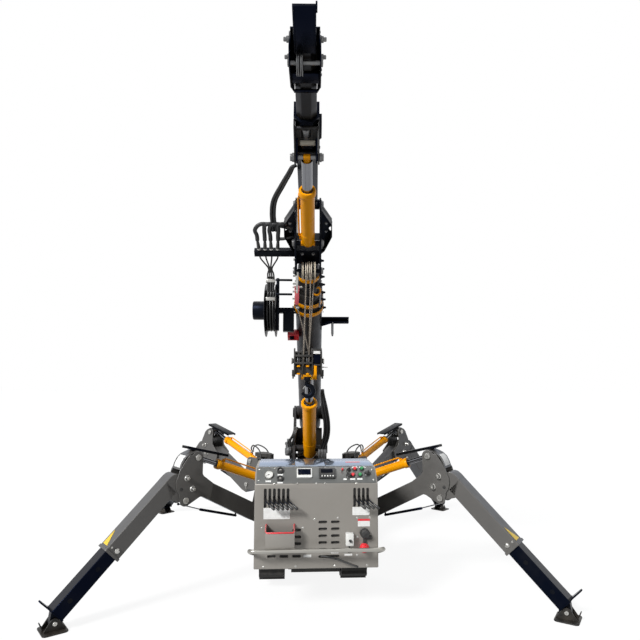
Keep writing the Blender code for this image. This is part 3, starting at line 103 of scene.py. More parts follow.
# Colours and nodes

NOISE_ROUGHNESS = 0.55


def linear(colour):
    """The linear RGBA of an sRGB hex colour."""
    values = [int(colour[k:k + 2], 16) / 255 for k in (0, 2, 4)]
    return [v / 12.92 if v <= 0.04045 else ((v + 0.055) / 1.055) ** 2.4 for v in values] + [1.0]


def add_node(tree, kind, settings=(), **links):
    """Adds a node; settings are its own values, links its inputs, each a socket or a plain value."""
    node = tree.nodes.new(kind)
    for key, value in dict(settings).items():
        setattr(node, key, value)
    for key, value in links.items():
        name = key.replace("_", " ")
        socket = node.inputs[int(name[1:])] if name[0] == "n" and name[1:].isdigit() else node.inputs[name]
        if isinstance(value, bpy.types.NodeSocket):
            tree.links.new(value, socket)
        else:
            socket.default_value = value
    return node


def blank_material(name):
    """A new material without nodes, and its node tree."""
    made = bpy.data.materials.new(name)
    made.use_nodes = True
    made.node_tree.nodes.clear()
    return made, made.node_tree


def finish_shader(tree, colour, roughness, bump=None, **sockets):
    """The Principled shader and the output; roughness and colour may be sockets."""
    shader = add_node(tree, "ShaderNodeBsdfPrincipled")
    for key, value in (("Base Color", colour), ("Roughness", roughness), ("Normal", bump)):
        if isinstance(value, bpy.types.NodeSocket):
            tree.links.new(value, shader.inputs[key])
        elif value is not None:
            shader.inputs[key].default_value = value
    for key, value in sockets.items():
        shader.inputs[key.replace("_", " ")].default_value = value
    output = add_node(tree, "ShaderNodeOutputMaterial")
    tree.links.new(shader.outputs["BSDF"], output.inputs["Surface"])
    return shader


def mottled(name, colour, gloss, film=None, relief=None, **sockets):
    """A finish whose soiling, gloss and relief each follow a noise of their own.

    gloss is one roughness, or a noise's size in mm, its detail, and the roughness at its low and its high.
    film is a noise's size in mm, its detail, its low and high, the most that it covers, and its colour.
    relief is a noise's size in mm, its detail, the height in mm, and the strength.
    """
    made, tree = blank_material(name)
    spot = add_node(tree, "ShaderNodeTexCoord").outputs["Object"]
    shade = linear(colour)
    bump = None
    if film:
        size, detail, low, high, cover, soil = film
        clouds = add_node(tree, "ShaderNodeTexNoise", Vector=spot, Scale=1000 / size, Detail=detail,
                          Roughness=NOISE_ROUGHNESS).outputs["Fac"]
        share = add_node(tree, "ShaderNodeMapRange", Value=clouds, From_Min=low, From_Max=high,
                         To_Min=0.0, To_Max=cover).outputs["Result"]
        shade = add_node(tree, "ShaderNodeMix", {"data_type": "RGBA"}, n0=share, n6=shade,
                         n7=linear(soil)).outputs[2]
    if isinstance(gloss, tuple):
        size, detail, smooth, rough = gloss
        wear = add_node(tree, "ShaderNodeTexNoise", Vector=spot, Scale=1000 / size, Detail=detail,
                        Roughness=NOISE_ROUGHNESS).outputs["Fac"]
        gloss = add_node(tree, "ShaderNodeMapRange", Value=wear, From_Min=0.3, From_Max=0.7,
                         To_Min=smooth, To_Max=rough).outputs["Result"]
    if relief:
        size, detail, height, strength = relief
        grain = add_node(tree, "ShaderNodeTexNoise", Vector=spot, Scale=1000 / size, Detail=detail,
                         Roughness=NOISE_ROUGHNESS).outputs["Fac"]
        bump = add_node(tree, "ShaderNodeBump", Height=grain, Distance=height / 1000,
                        Strength=strength).outputs["Normal"]
    finish_shader(tree, shade, gloss, bump, **sockets)
    return made


def sprayed_paint(name, colour, roughness, metallic=0.0, coat=0.0, dust=0.12, dust_colour="8C877C",
                  peel_mm=3.0, gleam=0.5, painted_reflection_tint="FFFFFF"):
    """Two-pack enamel sprayed on steel: slight orange peel, cloudy gloss and a film of dust in blotches; its
    reflections take a painted tint, a painted sky reflection where the tint is cool.
    """
    return mottled(name, colour, gloss=(60, 3, roughness * 0.85, roughness * 1.25),
                   film=(180, 4, 0.42, 0.72, dust, dust_colour), relief=(peel_mm, 1, 0.06, 0.5),
                   Metallic=metallic, Coat_Weight=coat, Coat_Roughness=0.12, Specular_IOR_Level=gleam,
                   Specular_Tint=linear(painted_reflection_tint))


def powder_coat(name, colour, roughness=0.42, metallic=0.0, grain_mm=1.4):
    """Powder coat on folded sheet: an even fine grain that breaks up the gloss."""
    return mottled(name, colour, gloss=(45, 3, roughness * 0.85, roughness * 1.2),
                   film=(240, 3, 0.35, 0.7, 0.25, "7E7970"), relief=(grain_mm, 2, 0.08, 0.6),
                   Metallic=metallic)


def plated_steel(name, colour, roughness, streak=0.0):
    """Zinc-plated or machined steel: a metal with fine brushed breaks in its gloss."""
    return mottled(name, colour, gloss=(12, 4, roughness * 0.7, roughness * 1.4),
                   film=(35, 3, 0.35, 0.7, 0.5, "6A6864"), relief=(2.0, 2, 0.04, 0.4 + streak), Metallic=1.0)


def hard_chrome(name, colour="77787C", smooth=0.10, rough=0.20):
    """Ground steel: a near mirror when it is chromed, a satin sheen when it is only polished. The default
    colour is darker than chrome's own: painted shade for the dim surroundings that it reflects.
    """
    return mottled(name, colour, gloss=(20, 3, smooth, rough), Metallic=1.0)


def moulded_rubber(name, colour, roughness=0.75, grain_mm=2.5, dust=0.3):
    """Vulcanised rubber: matt, a little grey where dust has rubbed in."""
    return mottled(name, colour, gloss=roughness, film=(30, 5, 0.4, 0.75, dust, "6F6A62"),
                   relief=(grain_mm, 3, 0.15, 0.7))


def moulded_plastic(name, colour, roughness=0.4, coat=0.0):
    """Injection-moulded plastic: an even colour with the faint mottle of the mould."""
    return mottled(name, colour, gloss=(8, 2, roughness * 0.9, roughness * 1.15),
                   film=(25, 2, 0.35, 0.7, 0.15, "8A8782"), relief=(1.5, 1, 0.03, 0.4), Coat_Weight=coat)


def dark_display(name):
    """Display that is switched off: nearly black blue under glass, a little cloudy."""
    return mottled(name, "070A14", gloss=0.08, film=(30, 1, 0.0, 1.0, 1.0, "131A2C"), Coat_Weight=1.0,
                   Coat_Roughness=0.02)


def woven_finish(name, bands, distortion, wave_scale, low, high, groove, crown, roughness, height_mm,
                 strength, **sockets):
    """Strands that cross or wind: dark in the grooves between them, lighter on their crowns."""
    made, tree = blank_material(name)
    spot = add_node(tree, "ShaderNodeTexCoord").outputs["Object"]
    rise = None
    for way in bands:
        wave = add_node(tree, "ShaderNodeTexWave", {"bands_direction": way}, Vector=spot, Scale=wave_scale,
                        Distortion=distortion).outputs["Fac"]
        if rise is None:
            rise = wave
        else:
            rise = add_node(tree, "ShaderNodeMath", {"operation": "MULTIPLY"}, n0=rise, n1=wave).outputs[0]
    share = add_node(tree, "ShaderNodeMapRange", Value=rise, From_Min=low, From_Max=high).outputs["Result"]
    shade = add_node(tree, "ShaderNodeMix", {"data_type": "RGBA"}, n0=share, n6=linear(groove),
                     n7=linear(crown)).outputs[2]
    bump = add_node(tree, "ShaderNodeBump", Height=rise, Distance=height_mm / 1000,
                    Strength=strength).outputs["Normal"]
    finish_shader(tree, shade, roughness, bump, **sockets)
    return made


def wire_rope(name):
    """Six-strand steel rope: lays of strands 9 mm apart wind round it, darker between them."""
    return woven_finish(name, ("DIAGONAL",), 0.3, 75.0, 0.2, 0.8, "24211E", "8C8378", 0.4, 0.4, 0.6,
                        Metallic=0.85)


def braided_hose(name):
    """Hydraulic hose in a woven sleeve: a fine diamond weave 4 mm apart over black rubber."""
    return woven_finish(name, ("DIAGONAL", "Z"), 1.5, 70.0, 0.2, 0.7, "0D0E10", "1C1D20", 0.5, 0.6, 0.7)


PAINTED_SKY_TINT = "C8D6F0"       # painted sky reflection: a cool tint given to the reflections of the greys and blacks
# Blender numbers a material whose name the imported frame already has, so the key drops what follows a dot.
# Each reflection tint below is a painted reflection colour: cool on the greys and blacks for the sky, warm on
# the orange.
FINISHES = {made.name.split(".")[0]: made for made in (
    sprayed_paint("leg_paint", "5F5D5A", 0.36, 0.35, dust=0.06, gleam=0.3, painted_reflection_tint=PAINTED_SKY_TINT),
    sprayed_paint("boom_paint", "2C2926", 0.38, 0.15, dust=0.06, gleam=0.28, painted_reflection_tint=PAINTED_SKY_TINT),
    sprayed_paint("chassis_paint", "2B2A29", 0.45, 0.1, dust=0.10, gleam=0.3),
    powder_coat("console_coat", "8E8A84", 0.38, 0.25),
    powder_coat("panel_coat", "5E605F", 0.40, 0.2),
    sprayed_paint("gloss_black", "05070C", 0.22, dust=0.02, gleam=0.14, painted_reflection_tint="6A86D8"),
    sprayed_paint("satin_black", "090A0C", 0.38, dust=0.04, gleam=0.15, painted_reflection_tint="8FA3D4"),
    sprayed_paint("foot_paint", "121110", 0.42, dust=0.35, dust_colour="6B6257", gleam=0.3),
    sprayed_paint("cylinder_orange", "F29E00", 0.30, dust=0.04, dust_colour="B07A20", gleam=0.35,
                  painted_reflection_tint="FFE0A8"),
    sprayed_paint("lid_paint", "A3ADBA", 0.14, 0.75, 0.2, 0.03, peel_mm=0.8, painted_reflection_tint=PAINTED_SKY_TINT),
    hard_chrome("hard_chrome"),
    hard_chrome("satin_tube", "A19F99", 0.30, 0.36),
    plated_steel("plated_steel", "B9B8B4", 0.30),
    plated_steel("dark_steel", "6D6E70", 0.36),
    plated_steel("cast_steel", "5C5D5F", 0.48, 0.5),
    moulded_rubber("track_rubber", "0D0D0D", 0.8, dust=0.14),
    moulded_rubber("hose_rubber", "0A0B0C", 0.42, 2.0, 0.05),
    moulded_plastic("sheave_nylon", "D9D0BF"),
    sprayed_paint("socket_red", "A93A44", 0.45, dust=0.25, dust_colour="8A6A66"),
    moulded_plastic("red_plastic", "DE1F2D", 0.3, 0.3),
    moulded_plastic("green_plastic", "1F8A4C", 0.3, 0.3),
    moulded_plastic("yellow_plastic", "E8C21A", 0.35),
    moulded_plastic("black_plastic", "121315"),
    moulded_plastic("white_plastic", "E6E6E2"),
    moulded_plastic("label_white", "EDEDEA", 0.35),
    wire_rope("wire_rope"),
    braided_hose("braided_hose"),
    dark_display("dark_display"),
)}


# Shapes. Each adds to a bmesh; an optional matrix places what it adds.

ALONG_X = ((0, 0, 0), (0.1, 0, 0))                               # an axis to turn a form about
ACROSS = Matrix(((0, 0, 1), (1, 0, 0), (0, 1, 0))).to_4x4()      # lays an outline in Y-Z, raised along X
UPRIGHT = Matrix(((1, 0, 0), (0, 0, -1), (0, 1, 0))).to_4x4()    # lays an outline in X-Z, raised towards -Y


def box(bm, low, high, place=None):
    """A box between two corners."""
    size = [b - a for a, b in zip(low, high)]
    middle = [(a + b) / 2 for a, b in zip(low, high)]
    here = Matrix.Translation(middle) @ Matrix.Diagonal((*size, 1.0))
    made = bmesh.ops.create_cube(bm, size=1.0, matrix=here if place is None else place @ here)
    return made["verts"]


def between(start, end):
    """The matrix that lays the Z axis from start to end, at their middle, and their distance."""
    start, end = Vector(start), Vector(end)
    run = end - start
    turn = run.to_track_quat("Z", "X").to_matrix().to_4x4()
    return Matrix.Translation((start + end) / 2) @ turn, run.length


def bar(bm, start, end, radius, sides=32, end_radius=None, place=None):
    """A round bar, or a cone, between two points."""
    here, length = between(start, end)
    made = bmesh.ops.create_cone(bm, cap_ends=True, segments=sides, radius1=radius,
                                 radius2=radius if end_radius is None else end_radius, depth=length,
                                 matrix=here if place is None else place @ here)
    return made["verts"]


def turned(bm, profile, start, end, steps=40, place=None):
    """A form turned about the line from start to end; the profile is (distance along it, radius) pairs."""
    here, length = between(start, end)
    here = here @ Matrix.Translation((0, 0, -length / 2))
    old = set(bm.verts)
    spots = [bm.verts.new((radius, 0, along)) for along, radius in profile]
    edges = [bm.edges.new(pair) for pair in zip(spots, spots[1:])]
    bmesh.ops.spin(bm, geom=spots + edges, cent=(0, 0, 0), axis=(0, 0, 1), angle=2 * math.pi, steps=steps,
                   use_merge=True)
    bmesh.ops.remove_doubles(bm, verts=[v for v in bm.verts if v not in old], dist=1e-6)
    made = [v for v in bm.verts if v not in old]
    bmesh.ops.recalc_face_normals(bm, faces=list({f for v in made for f in v.link_faces}))
    bmesh.ops.transform(bm, matrix=here if place is None else place @ here, verts=made)
    return made


def mirrored(half):
    """A turned form's whole profile, from the half of it that lies before the middle."""
    return [*half, *((-along, radius) for along, radius in reversed(half))]


def ring_profile(wide, radius, tall, step):
    """The profile of a ring of oval section, wide along its axis and tall across it."""
    return [(wide * math.cos(math.radians(a)), radius + tall * math.sin(math.radians(a)))
            for a in range(0, 361, step)]


def side_boss(bm, profile, side, out, spot, steps, place):
    """A turned form that stands out of a boom's left or right side, at a place along and below it."""
    return turned(bm, profile, (side * out, *spot), (side * (out + 1), *spot), steps, place)


def boss(bm, profile, steps, place):
    """A turned form that stands on the X-Y plane of place."""
    return turned(bm, profile, (0, 0, 0), (0, 0, 0.1), steps, place)


def plate(bm, outline, thickness, place):
    """A flat plate: an outline in the X-Y plane of place, raised along its Z from 0 to thickness."""
    spots = [bm.verts.new((*point, 0.0)) for point in outline]
    face = bm.faces.new(spots)
    bmesh.ops.recalc_face_normals(bm, faces=[face])
    grown = bmesh.ops.extrude_face_region(bm, geom=[face])
    lifted = [v for v in grown["geom"] if isinstance(v, bmesh.types.BMVert)]
    bmesh.ops.translate(bm, vec=(0, 0, thickness), verts=lifted)
    faces = list({f for v in spots + lifted for f in v.link_faces})
    bmesh.ops.recalc_face_normals(bm, faces=faces)
    bmesh.ops.transform(bm, matrix=place, verts=spots + lifted)
    return spots + lifted


def arc(centre, radius, start, end, steps=12):
    """Points round an arc, in degrees."""
    return [(centre[0] + radius * math.cos(math.radians(start + (end - start) * k / steps)),
             centre[1] + radius * math.sin(math.radians(start + (end - start) * k / steps)))
            for k in range(steps + 1)]


def rounded_rectangle(width, height, radius, steps=5):
    """Outline of a rectangle with round corners, round the origin."""
    w, h = width / 2 - radius, height / 2 - radius
    return (arc((w, h), radius, 0, 90, steps) + arc((-w, h), radius, 90, 180, steps)
            + arc((-w, -h), radius, 180, 270, steps) + arc((w, -h), radius, 270, 360, steps))


def side_plate(bm, outline, low, high, place):
    """A plate whose outline lies in the X-Z plane of place, between two distances along its Y."""
    return plate(bm, outline, high - low, place @ Matrix.Translation((0, high, 0)) @ UPRIGHT)


def tube_loft(bm, stages, place):
    """A hollow box section: each stage is a distance along X, its outer loop and its inner loop in Y-Z."""
    rings = []
    for along, outer, inner in stages:
        rings.append([[bm.verts.new((along, *point)) for point in loop] for loop in (outer, inner)])
    count = len(rings[0][0])
    faces = []
    for one, two in zip(rings, rings[1:]):
        for loop in (0, 1):
            for k in range(count):
                m = (k + 1) % count
                faces.append(bm.faces.new((one[loop][k], one[loop][m], two[loop][m], two[loop][k])))
    for ring in (rings[0], rings[-1]):
        for k in range(count):
            m = (k + 1) % count
            faces.append(bm.faces.new((ring[0][k], ring[0][m], ring[1][m], ring[1][k])))
    bmesh.ops.recalc_face_normals(bm, faces=faces)
    verts = [v for ring in rings for loop in ring for v in loop]
    bmesh.ops.transform(bm, matrix=place, verts=verts)
    return verts


def softened(bm, width, segments=2, angle=28.0):
    """Rounds every edge sharper than the angle."""
    edges = [e for e in bm.edges if len(e.link_faces) == 2 and e.calc_face_angle(0) > math.radians(angle)]
    bmesh.ops.bevel(bm, geom=edges, offset=width, offset_type="OFFSET", segments=segments, profile=0.5,
                    affect="EDGES", clamp_overlap=True, material=-1)


# Where two faces of a piece meet at more than this many degrees, their edge stays sharp.
CRISP = 30.0
TURNED = 35.0
ROUND = 40.0
BENT = 45.0
HOSE = 50.0
PRESSED = 60.0


def piece(name, bm, finish, body, smooth=CRISP, edge=0.0, nodes=()):
    """Makes the bmesh a piece with its finish, on its body, standing for the CAD nodes named."""
    if edge:
        softened(bm, edge)
    mesh = bpy.data.meshes.new(name)
    bm.to_mesh(mesh)
    bm.free()
    mesh.materials.append(FINISHES[finish])
    mesh.shade_smooth()
    mesh.set_sharp_from_angle(angle=math.radians(smooth))
    made = bpy.data.objects.new(name, mesh)
    bpy.context.scene.collection.objects.link(made)
    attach(made, body)
    if nodes:
        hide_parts(*nodes)
    return made


def leg_piece(name, bm, finish, part, label, smooth=CRISP, edge=0.0, nodes=()):
    """The same for one leg, whose label ends the name of the piece, its body and its nodes."""
    return piece(name + "_" + label, bm, finish, part + "_" + label, smooth, edge,
                 tuple(node + "_" + label for node in nodes))


def flat_faced(made):
    """Keeps a bevelled form's large faces flat, so only its rounded edges catch a highlight."""
    weigh = made.modifiers.new("weigh", "WEIGHTED_NORMAL")
    weigh.keep_sharp = True
    weigh.weight = 80
    return made


def smooth_run(points, steps=8):
    """A smooth curve through the points, Catmull-Rom."""
    points = [Vector(p) for p in points]
    ends = [points[0] * 2 - points[1]] + points + [points[-1] * 2 - points[-2]]
    run = []
    for a, b, c, d in zip(ends, ends[1:], ends[2:], ends[3:]):
        for k in range(steps):
            t = k / steps
            run.append(0.5 * (2 * b + (c - a) * t + (2 * a - 5 * b + 4 * c - d) * t * t
                              + (3 * b - a - 3 * c + d) * t ** 3))
    run.append(points[-1])
    return run


def bent_bar(points, radius, steps=8, fineness=3):
    """The mesh of a round bar or hose carried along a smooth run through the points."""
    curve = bpy.data.curves.new("run", "CURVE")
    curve.dimensions = "3D"
    curve.bevel_depth = radius
    curve.bevel_resolution = fineness
    curve.use_fill_caps = True
    run = smooth_run(points, steps) if steps > 1 else [Vector(p) for p in points]
    spline = curve.splines.new("POLY")
    spline.points.add(len(run) - 1)
    for spot, place in zip(spline.points, run):
        spot.co = (*place, 1.0)
    holder = bpy.data.objects.new("run", curve)
    bpy.context.scene.collection.objects.link(holder)
    bpy.context.view_layer.update()
    mesh = bpy.data.meshes.new_from_object(holder.evaluated_get(bpy.context.evaluated_depsgraph_get()))
    bpy.data.objects.remove(holder, do_unlink=True)
    bpy.data.curves.remove(curve)
    return mesh


def add_run(bm, points, radius, steps=8, fineness=3, place=None):
    """Adds a bent bar or hose to a bmesh."""
    old = set(bm.verts)
    mesh = bent_bar(points, radius, steps, fineness)
    bm.from_mesh(mesh)
    bpy.data.meshes.remove(mesh)
    made = [v for v in bm.verts if v not in old]
    bmesh.ops.remove_doubles(bm, verts=made, dist=1e-6)
    made = [v for v in bm.verts if v not in old]
    if place is not None:
        bmesh.ops.transform(bm, matrix=place, verts=made)
    return made


def dressed(node, finish, body, width=0.0015, segments=2):
    """The CAD node's own form with its edges rounded, as the real one's are by paint and press brake."""
    source = NODES[node]
    bm = bmesh.new()
    bm.from_mesh(source.data)
    bmesh.ops.remove_doubles(bm, verts=bm.verts, dist=0.00002)
    bmesh.ops.dissolve_limit(bm, angle_limit=math.radians(0.5), verts=bm.verts, edges=bm.edges)
    sharp = [e for e in bm.edges if len(e.link_faces) == 2 and e.calc_face_angle(0) > math.radians(34)]
    bmesh.ops.bevel(bm, geom=sharp, offset=width, offset_type="OFFSET", segments=segments, profile=0.5,
                    affect="EDGES", clamp_overlap=True, material=-1)
    return flat_faced(piece(node + "_form", bm, finish, body, PRESSED, 0.0, (node,)))


def paint_node(node, finish):
    """Gives a CAD node, kept as it is, its finish."""
    source = NODES[node]
    source.data.materials.clear()
    source.data.materials.append(FINISHES[finish])


# Places

def axes(origin, right, ahead, up):
    """The matrix at the origin given whose X, Y and Z are the three directions."""
    return Matrix.Translation(origin) @ Matrix((right, ahead, up)).transposed().to_4x4()


def joint_at(name):
    """A joint's place, in metres."""
    return Vector(JOINTS[name]["pos_m"])


def leg_place(label):
    """The frame of a leg's plane: X outwards from the post, Z up, the origin on the ground under the post."""
    post = joint_at("swing_" + label)
    foot = joint_at("foot_tilt_" + label)
    out = Vector((foot.x - post.x, foot.y - post.y, 0)).normalized()
    up = Vector((0, 0, 1))
    return axes((post.x, post.y, 0), out, up.cross(out), up)


def rightward(hinge):
    """A hinge's axis, turned to point to the right."""
    axis = Vector(JOINTS[hinge]["axis"]).normalized()
    return -axis if axis.x < 0 else axis


def arm_place(hinge, slide):
    """A boom's frame at its hinge: X to the right, Y along it, Z square below it."""
    right = rightward(hinge)
    ahead = Vector(JOINTS[slide]["axis"]).normalized()
    ahead = (ahead - right * ahead.dot(right)).normalized()
    return axes(joint_at(hinge), right, ahead, right.cross(ahead))


def boom_place():
    """The boom's frame at its pivot."""
    return arm_place("boom_raise", "telescope_2")


def jib_place():
    """The jib's frame at its pivot."""
    return arm_place("jib_raise", "jib_extend")


# The machine's own pieces, dressed

def dress_legs():
    """The swing posts."""
    for label in LEGS:
        dressed("post_" + label, "leg_paint", "leg_swing_" + label, 0.0020)


def dress_boom():
    """Column, boom head and the jib's base."""
    dressed("column", "boom_paint", "superstructure", 0.0020)
    dressed("boom_head", "satin_black", "section_7", 0.0015)
    dressed("jib_base", "gloss_black", "jib", 0.0015)


def dress_carrier():
    """Chassis frame, engine cover, tracks and battery."""
    dressed("chassis_frame", "chassis_paint", "carrier", 0.0020)
    dressed("engine_cover", "chassis_paint", "carrier", 0.0040)
    paint_node("track_left", "track_rubber")
    paint_node("track_right", "track_rubber")
    paint_node("battery", "black_plastic")


# Control console: folded sheet housing with its slots, tray, instruments, levers and handle bar

CONSOLE_LOW, CONSOLE_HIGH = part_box("console_housing")
FRONT = CONSOLE_LOW.y
FOLD_Z = 0.843             # height where the front turns back into the sloped panel
PANEL_RUN = 0.100          # how far the sloped panel leans back
SHEET = 0.003
SLOT_DEPTH = 0.022
LEVER_SLOT = (0.0185, 0.122)
LEVER_BANKS = ((-0.3305, 0.0292, 6), (0.2480, 0.0285, 4))     # first slot's x, pitch, count
LEVER_TOP = 0.817
VENT = (0.057, 0.018)      # pressed vent slot, width and height
VENT_ROWS = (0.603, 0.560, 0.517, 0.475, 0.432)
VENT_COLUMNS = (0.041, 0.122)
TRAY_X = (-0.323, -0.141)
TRAY_Z = (0.444, 0.560)
TRAY_OUT = 0.085
BAR_RADIUS = 0.0125
BAR_OUT = 0.095
BAR_Z = 0.452
SCREW = 0.0055
RED_LAMP = (0.176, 0.107)


def front_place(x, z, out=0.0):
    """Local Z points out of the console's front, X to the right, Y up."""
    return Matrix.Translation((x, FRONT - out, z)) @ UPRIGHT


def panel_place(x, up, out=0.0):
    """The same on the sloped panel; up is measured along the slope from the fold."""
    rise = CONSOLE_HIGH.z - FOLD_Z
    length = math.hypot(PANEL_RUN, rise)
    slope = Vector((0, PANEL_RUN / length, rise / length))
    away = Vector((1, 0, 0)).cross(slope)
    spot = Vector((x, FRONT, FOLD_Z)) + slope * up + away * out
    return axes(spot, Vector((1, 0, 0)), slope, away)


def slot_outline(width, height):
    """A slot with round ends, upright or lying, round the origin."""
    if height > width:
        r, d = width / 2, (height - width) / 2
        return arc((0, d), r, 0, 180, 8) + arc((0, -d), r, 180, 360, 8)
    r, d = height / 2, (width - height) / 2
    return arc((d, 0), r, -90, 90, 8) + arc((-d, 0), r, 90, 270, 8)


def carved(mesh, cutters):
    """The mesh less the cutters' shapes."""
    tool_mesh = bpy.data.meshes.new("cut")
    cutters.to_mesh(tool_mesh)
    cutters.free()
    tool = bpy.data.objects.new("cut", tool_mesh)
    work = bpy.data.objects.new("work", mesh)
    for obj in (tool, work):
        bpy.context.scene.collection.objects.link(obj)
    step = work.modifiers.new("cut", "BOOLEAN")
    step.operation = "DIFFERENCE"
    step.object = tool
    step.solver = "EXACT"
    bpy.context.view_layer.update()
    made = bpy.data.meshes.new_from_object(work.evaluated_get(bpy.context.evaluated_depsgraph_get()))
    for obj in (tool, work):
        bpy.data.objects.remove(obj, do_unlink=True)
    bm = bmesh.new()
    bm.from_mesh(made)
    bmesh.ops.remove_doubles(bm, verts=bm.verts, dist=1e-5)
    return bm


def front_slots():
    """Every slot on the front, as (x, z, width, height)."""
    found = []
    for first, pitch, count in LEVER_BANKS:
        for k in range(count):
            found.append((first + k * pitch, LEVER_TOP - LEVER_SLOT[1] / 2, *LEVER_SLOT))
    for z in VENT_ROWS:
        found += [(x, z, *VENT) for x in VENT_COLUMNS]
        if z < 0.6:
            found.append((-0.126, z - 0.004, *VENT))
    found.append((0.0815, 0.389, 0.137, VENT[1]))
    found += [(x, 0.394, *VENT) for x in (-0.287, -0.208, -0.127)]
    return found


def build_housing():
    """Folded sheet housing with its slots cut through, and a black plate behind each slot: painted shade in
    the slots.
    """
    source = bmesh.new()
    low, high = CONSOLE_LOW, CONSOLE_HIGH
    profile = [(low.y, low.z), (high.y, low.z), (high.y, high.z), (FRONT + PANEL_RUN, high.z),
               (FRONT, FOLD_Z)]
    loft(source, [[(x, *point) for point in profile] for x in (low.x, high.x)])
    softened(source, 0.006, 3)
    mesh = bpy.data.meshes.new("housing")
    source.to_mesh(mesh)
    source.free()
    cutters = bmesh.new()
    dark = bmesh.new()
    for x, z, width, height in front_slots():
        outline = slot_outline(width, height)
        plate(cutters, outline, SLOT_DEPTH + 0.02, front_place(x, z, -SLOT_DEPTH))
        # the black plate behind each slot is painted shade
        plate(dark, slot_outline(width * 1.08, height * 1.05), 0.001, front_place(x, z, -SLOT_DEPTH + 0.0005))
    piece("console_shell", carved(mesh, cutters), "console_coat", "carrier", CRISP, 0.0, ("console_housing",))
    piece("slot_shadow", dark, "black_plastic", "carrier")


def add_screws(bm, places, radius=SCREW):
    """Pan-head screws with a washer at each place."""
    for place in places:
        bar(bm, (0, 0, 0), (0, 0, 0.0012), radius * 1.45, 20, None, place)
        turned(bm, ((0.0010, radius), (0.0028, radius * 0.95), (0.0042, radius * 0.6), (0.0046, 0.0)),
               (0, 0, 0), (0, 0, 0.01), 20, place)


def build_console_screws():
    """The screws that hold the front sheet, the sloped panel and the lids."""
    bm = bmesh.new()
    places = [front_place(x, 0.332) for x in (-0.338, -0.133, 0.118, 0.326)]
    places += [front_place(x, z) for x, z in ((-0.011, 0.623), (0.138, 0.628), (-0.349, 0.572),
                                              (-0.088, 0.570), (0.262, 0.628), (0.345, 0.628), (0.264, 0.508),
                                              (0.262, 0.397))]
    places += [panel_place(x, up) for x, up in ((-0.372, 0.118), (-0.374, 0.030), (0.372, 0.112),
                                                (0.374, 0.030))]
    places += [panel_place(x, 0.006) for x in (-0.272, -0.124, 0.055, 0.262, 0.0)]
    places += [panel_place(x, 0.128) for x in (-0.272, 0.062, 0.330)]
    add_screws(bm, places)
    piece("console_screws", bm, "plated_steel", "carrier")


def build_panel_skin():
    """Darker instrument plate screwed over the sloped panel, and the two lids on the console's top."""
    rise = math.hypot(PANEL_RUN, CONSOLE_HIGH.z - FOLD_Z)
    bm = bmesh.new()
    plate(bm, rounded_rectangle(0.780, rise - 0.010, 0.004), 0.0022, panel_place(0, rise / 2, 0.0002))
    piece("instrument_plate", bm, "panel_coat", "carrier", CRISP, 0.0006)
    bm = bmesh.new()
    top = CONSOLE_HIGH.z
    back = CONSOLE_HIGH.y
    for low, high in ((-0.382, -0.140), (-0.137, 0.062), (0.065, 0.382)):
        box(bm, (low, FRONT + PANEL_RUN + 0.004, top), (high, back - 0.008, top + 0.010))
    piece("console_lids", bm, "lid_paint", "carrier", CRISP, 0.002)
    bm = bmesh.new()
    where = Matrix.Translation((0.262, FRONT + 0.235, top + 0.010))
    plate(bm, rounded_rectangle(0.105, 0.030, 0.0145, 8), 0.0012, where)
    piece("red_strip", bm, "red_plastic", "carrier")


def build_tray():
    """Open-topped tray of folded sheet on the front, its rim covered by a red edge trim."""
    x0, x1 = TRAY_X
    z0, z1 = TRAY_Z
    out = TRAY_OUT
    bm = bmesh.new()
    box(bm, (x0, FRONT - out, z0), (x1, FRONT - out + SHEET, z1))
    box(bm, (x0, FRONT - out + 0.001, z0), (x0 + SHEET, FRONT + 0.001, z1 + 0.034))
    box(bm, (x1 - SHEET, FRONT - out + 0.001, z0), (x1, FRONT + 0.001, z1 + 0.034))
    box(bm, (x0 + 0.001, FRONT - out + 0.001, z0), (x1 - 0.001, FRONT + 0.001, z0 + SHEET))
    piece("tray", bm, "console_coat", "carrier", CRISP, 0.0008, ("battery_tray",))
    bm = bmesh.new()
    rim = 0.0055
    corners = [(x0 + 0.001, FRONT - 0.004, z1 + 0.032), (x0 + 0.001, FRONT - out + 0.012, z1 + 0.004),
               (x0 + 0.010, FRONT - out + 0.0015, z1), (x1 - 0.010, FRONT - out + 0.0015, z1),
               (x1 - 0.001, FRONT - out + 0.012, z1 + 0.004), (x1 - 0.001, FRONT - 0.004, z1 + 0.032)]
    add_run(bm, corners, rim, 1, 3)
    piece("tray_trim", bm, "red_plastic", "carrier", HOSE)
    bm = bmesh.new()
    low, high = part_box("battery")
    for x in (low.x + 0.035, (low.x + high.x) / 2, high.x - 0.035):
        bar(bm, (x, low.y + 0.018, high.z - 0.002), (x, low.y + 0.018, high.z + 0.016), 0.009, 20)
    piece("battery_posts", bm, "plated_steel", "carrier", ROUND)


def build_handle_bar():
    """Steel tube bent round the console's front corners."""
    half = CONSOLE_HIGH.x + 0.024
    out = FRONT - BAR_OUT
    points = [(-half + 0.022, FRONT + 0.010, BAR_Z - 0.040), (-half + 0.004, FRONT - 0.030, BAR_Z - 0.022)]
    points += [(-half, FRONT - 0.060, BAR_Z - 0.006), (-half + 0.020, out + 0.006, BAR_Z),
               (-half + 0.060, out, BAR_Z)]
    points += [(x, out, BAR_Z + 0.002) for x in (-0.2, 0.0, 0.2)]
    points += [(-p[0], p[1], p[2] + 0.003) for p in points[4::-1]]
    bm = bmesh.new()
    add_run(bm, points, BAR_RADIUS, 6, 4)
    piece("handle_bar", bm, "satin_tube", "carrier", HOSE, 0.0, ("handle_bar",))


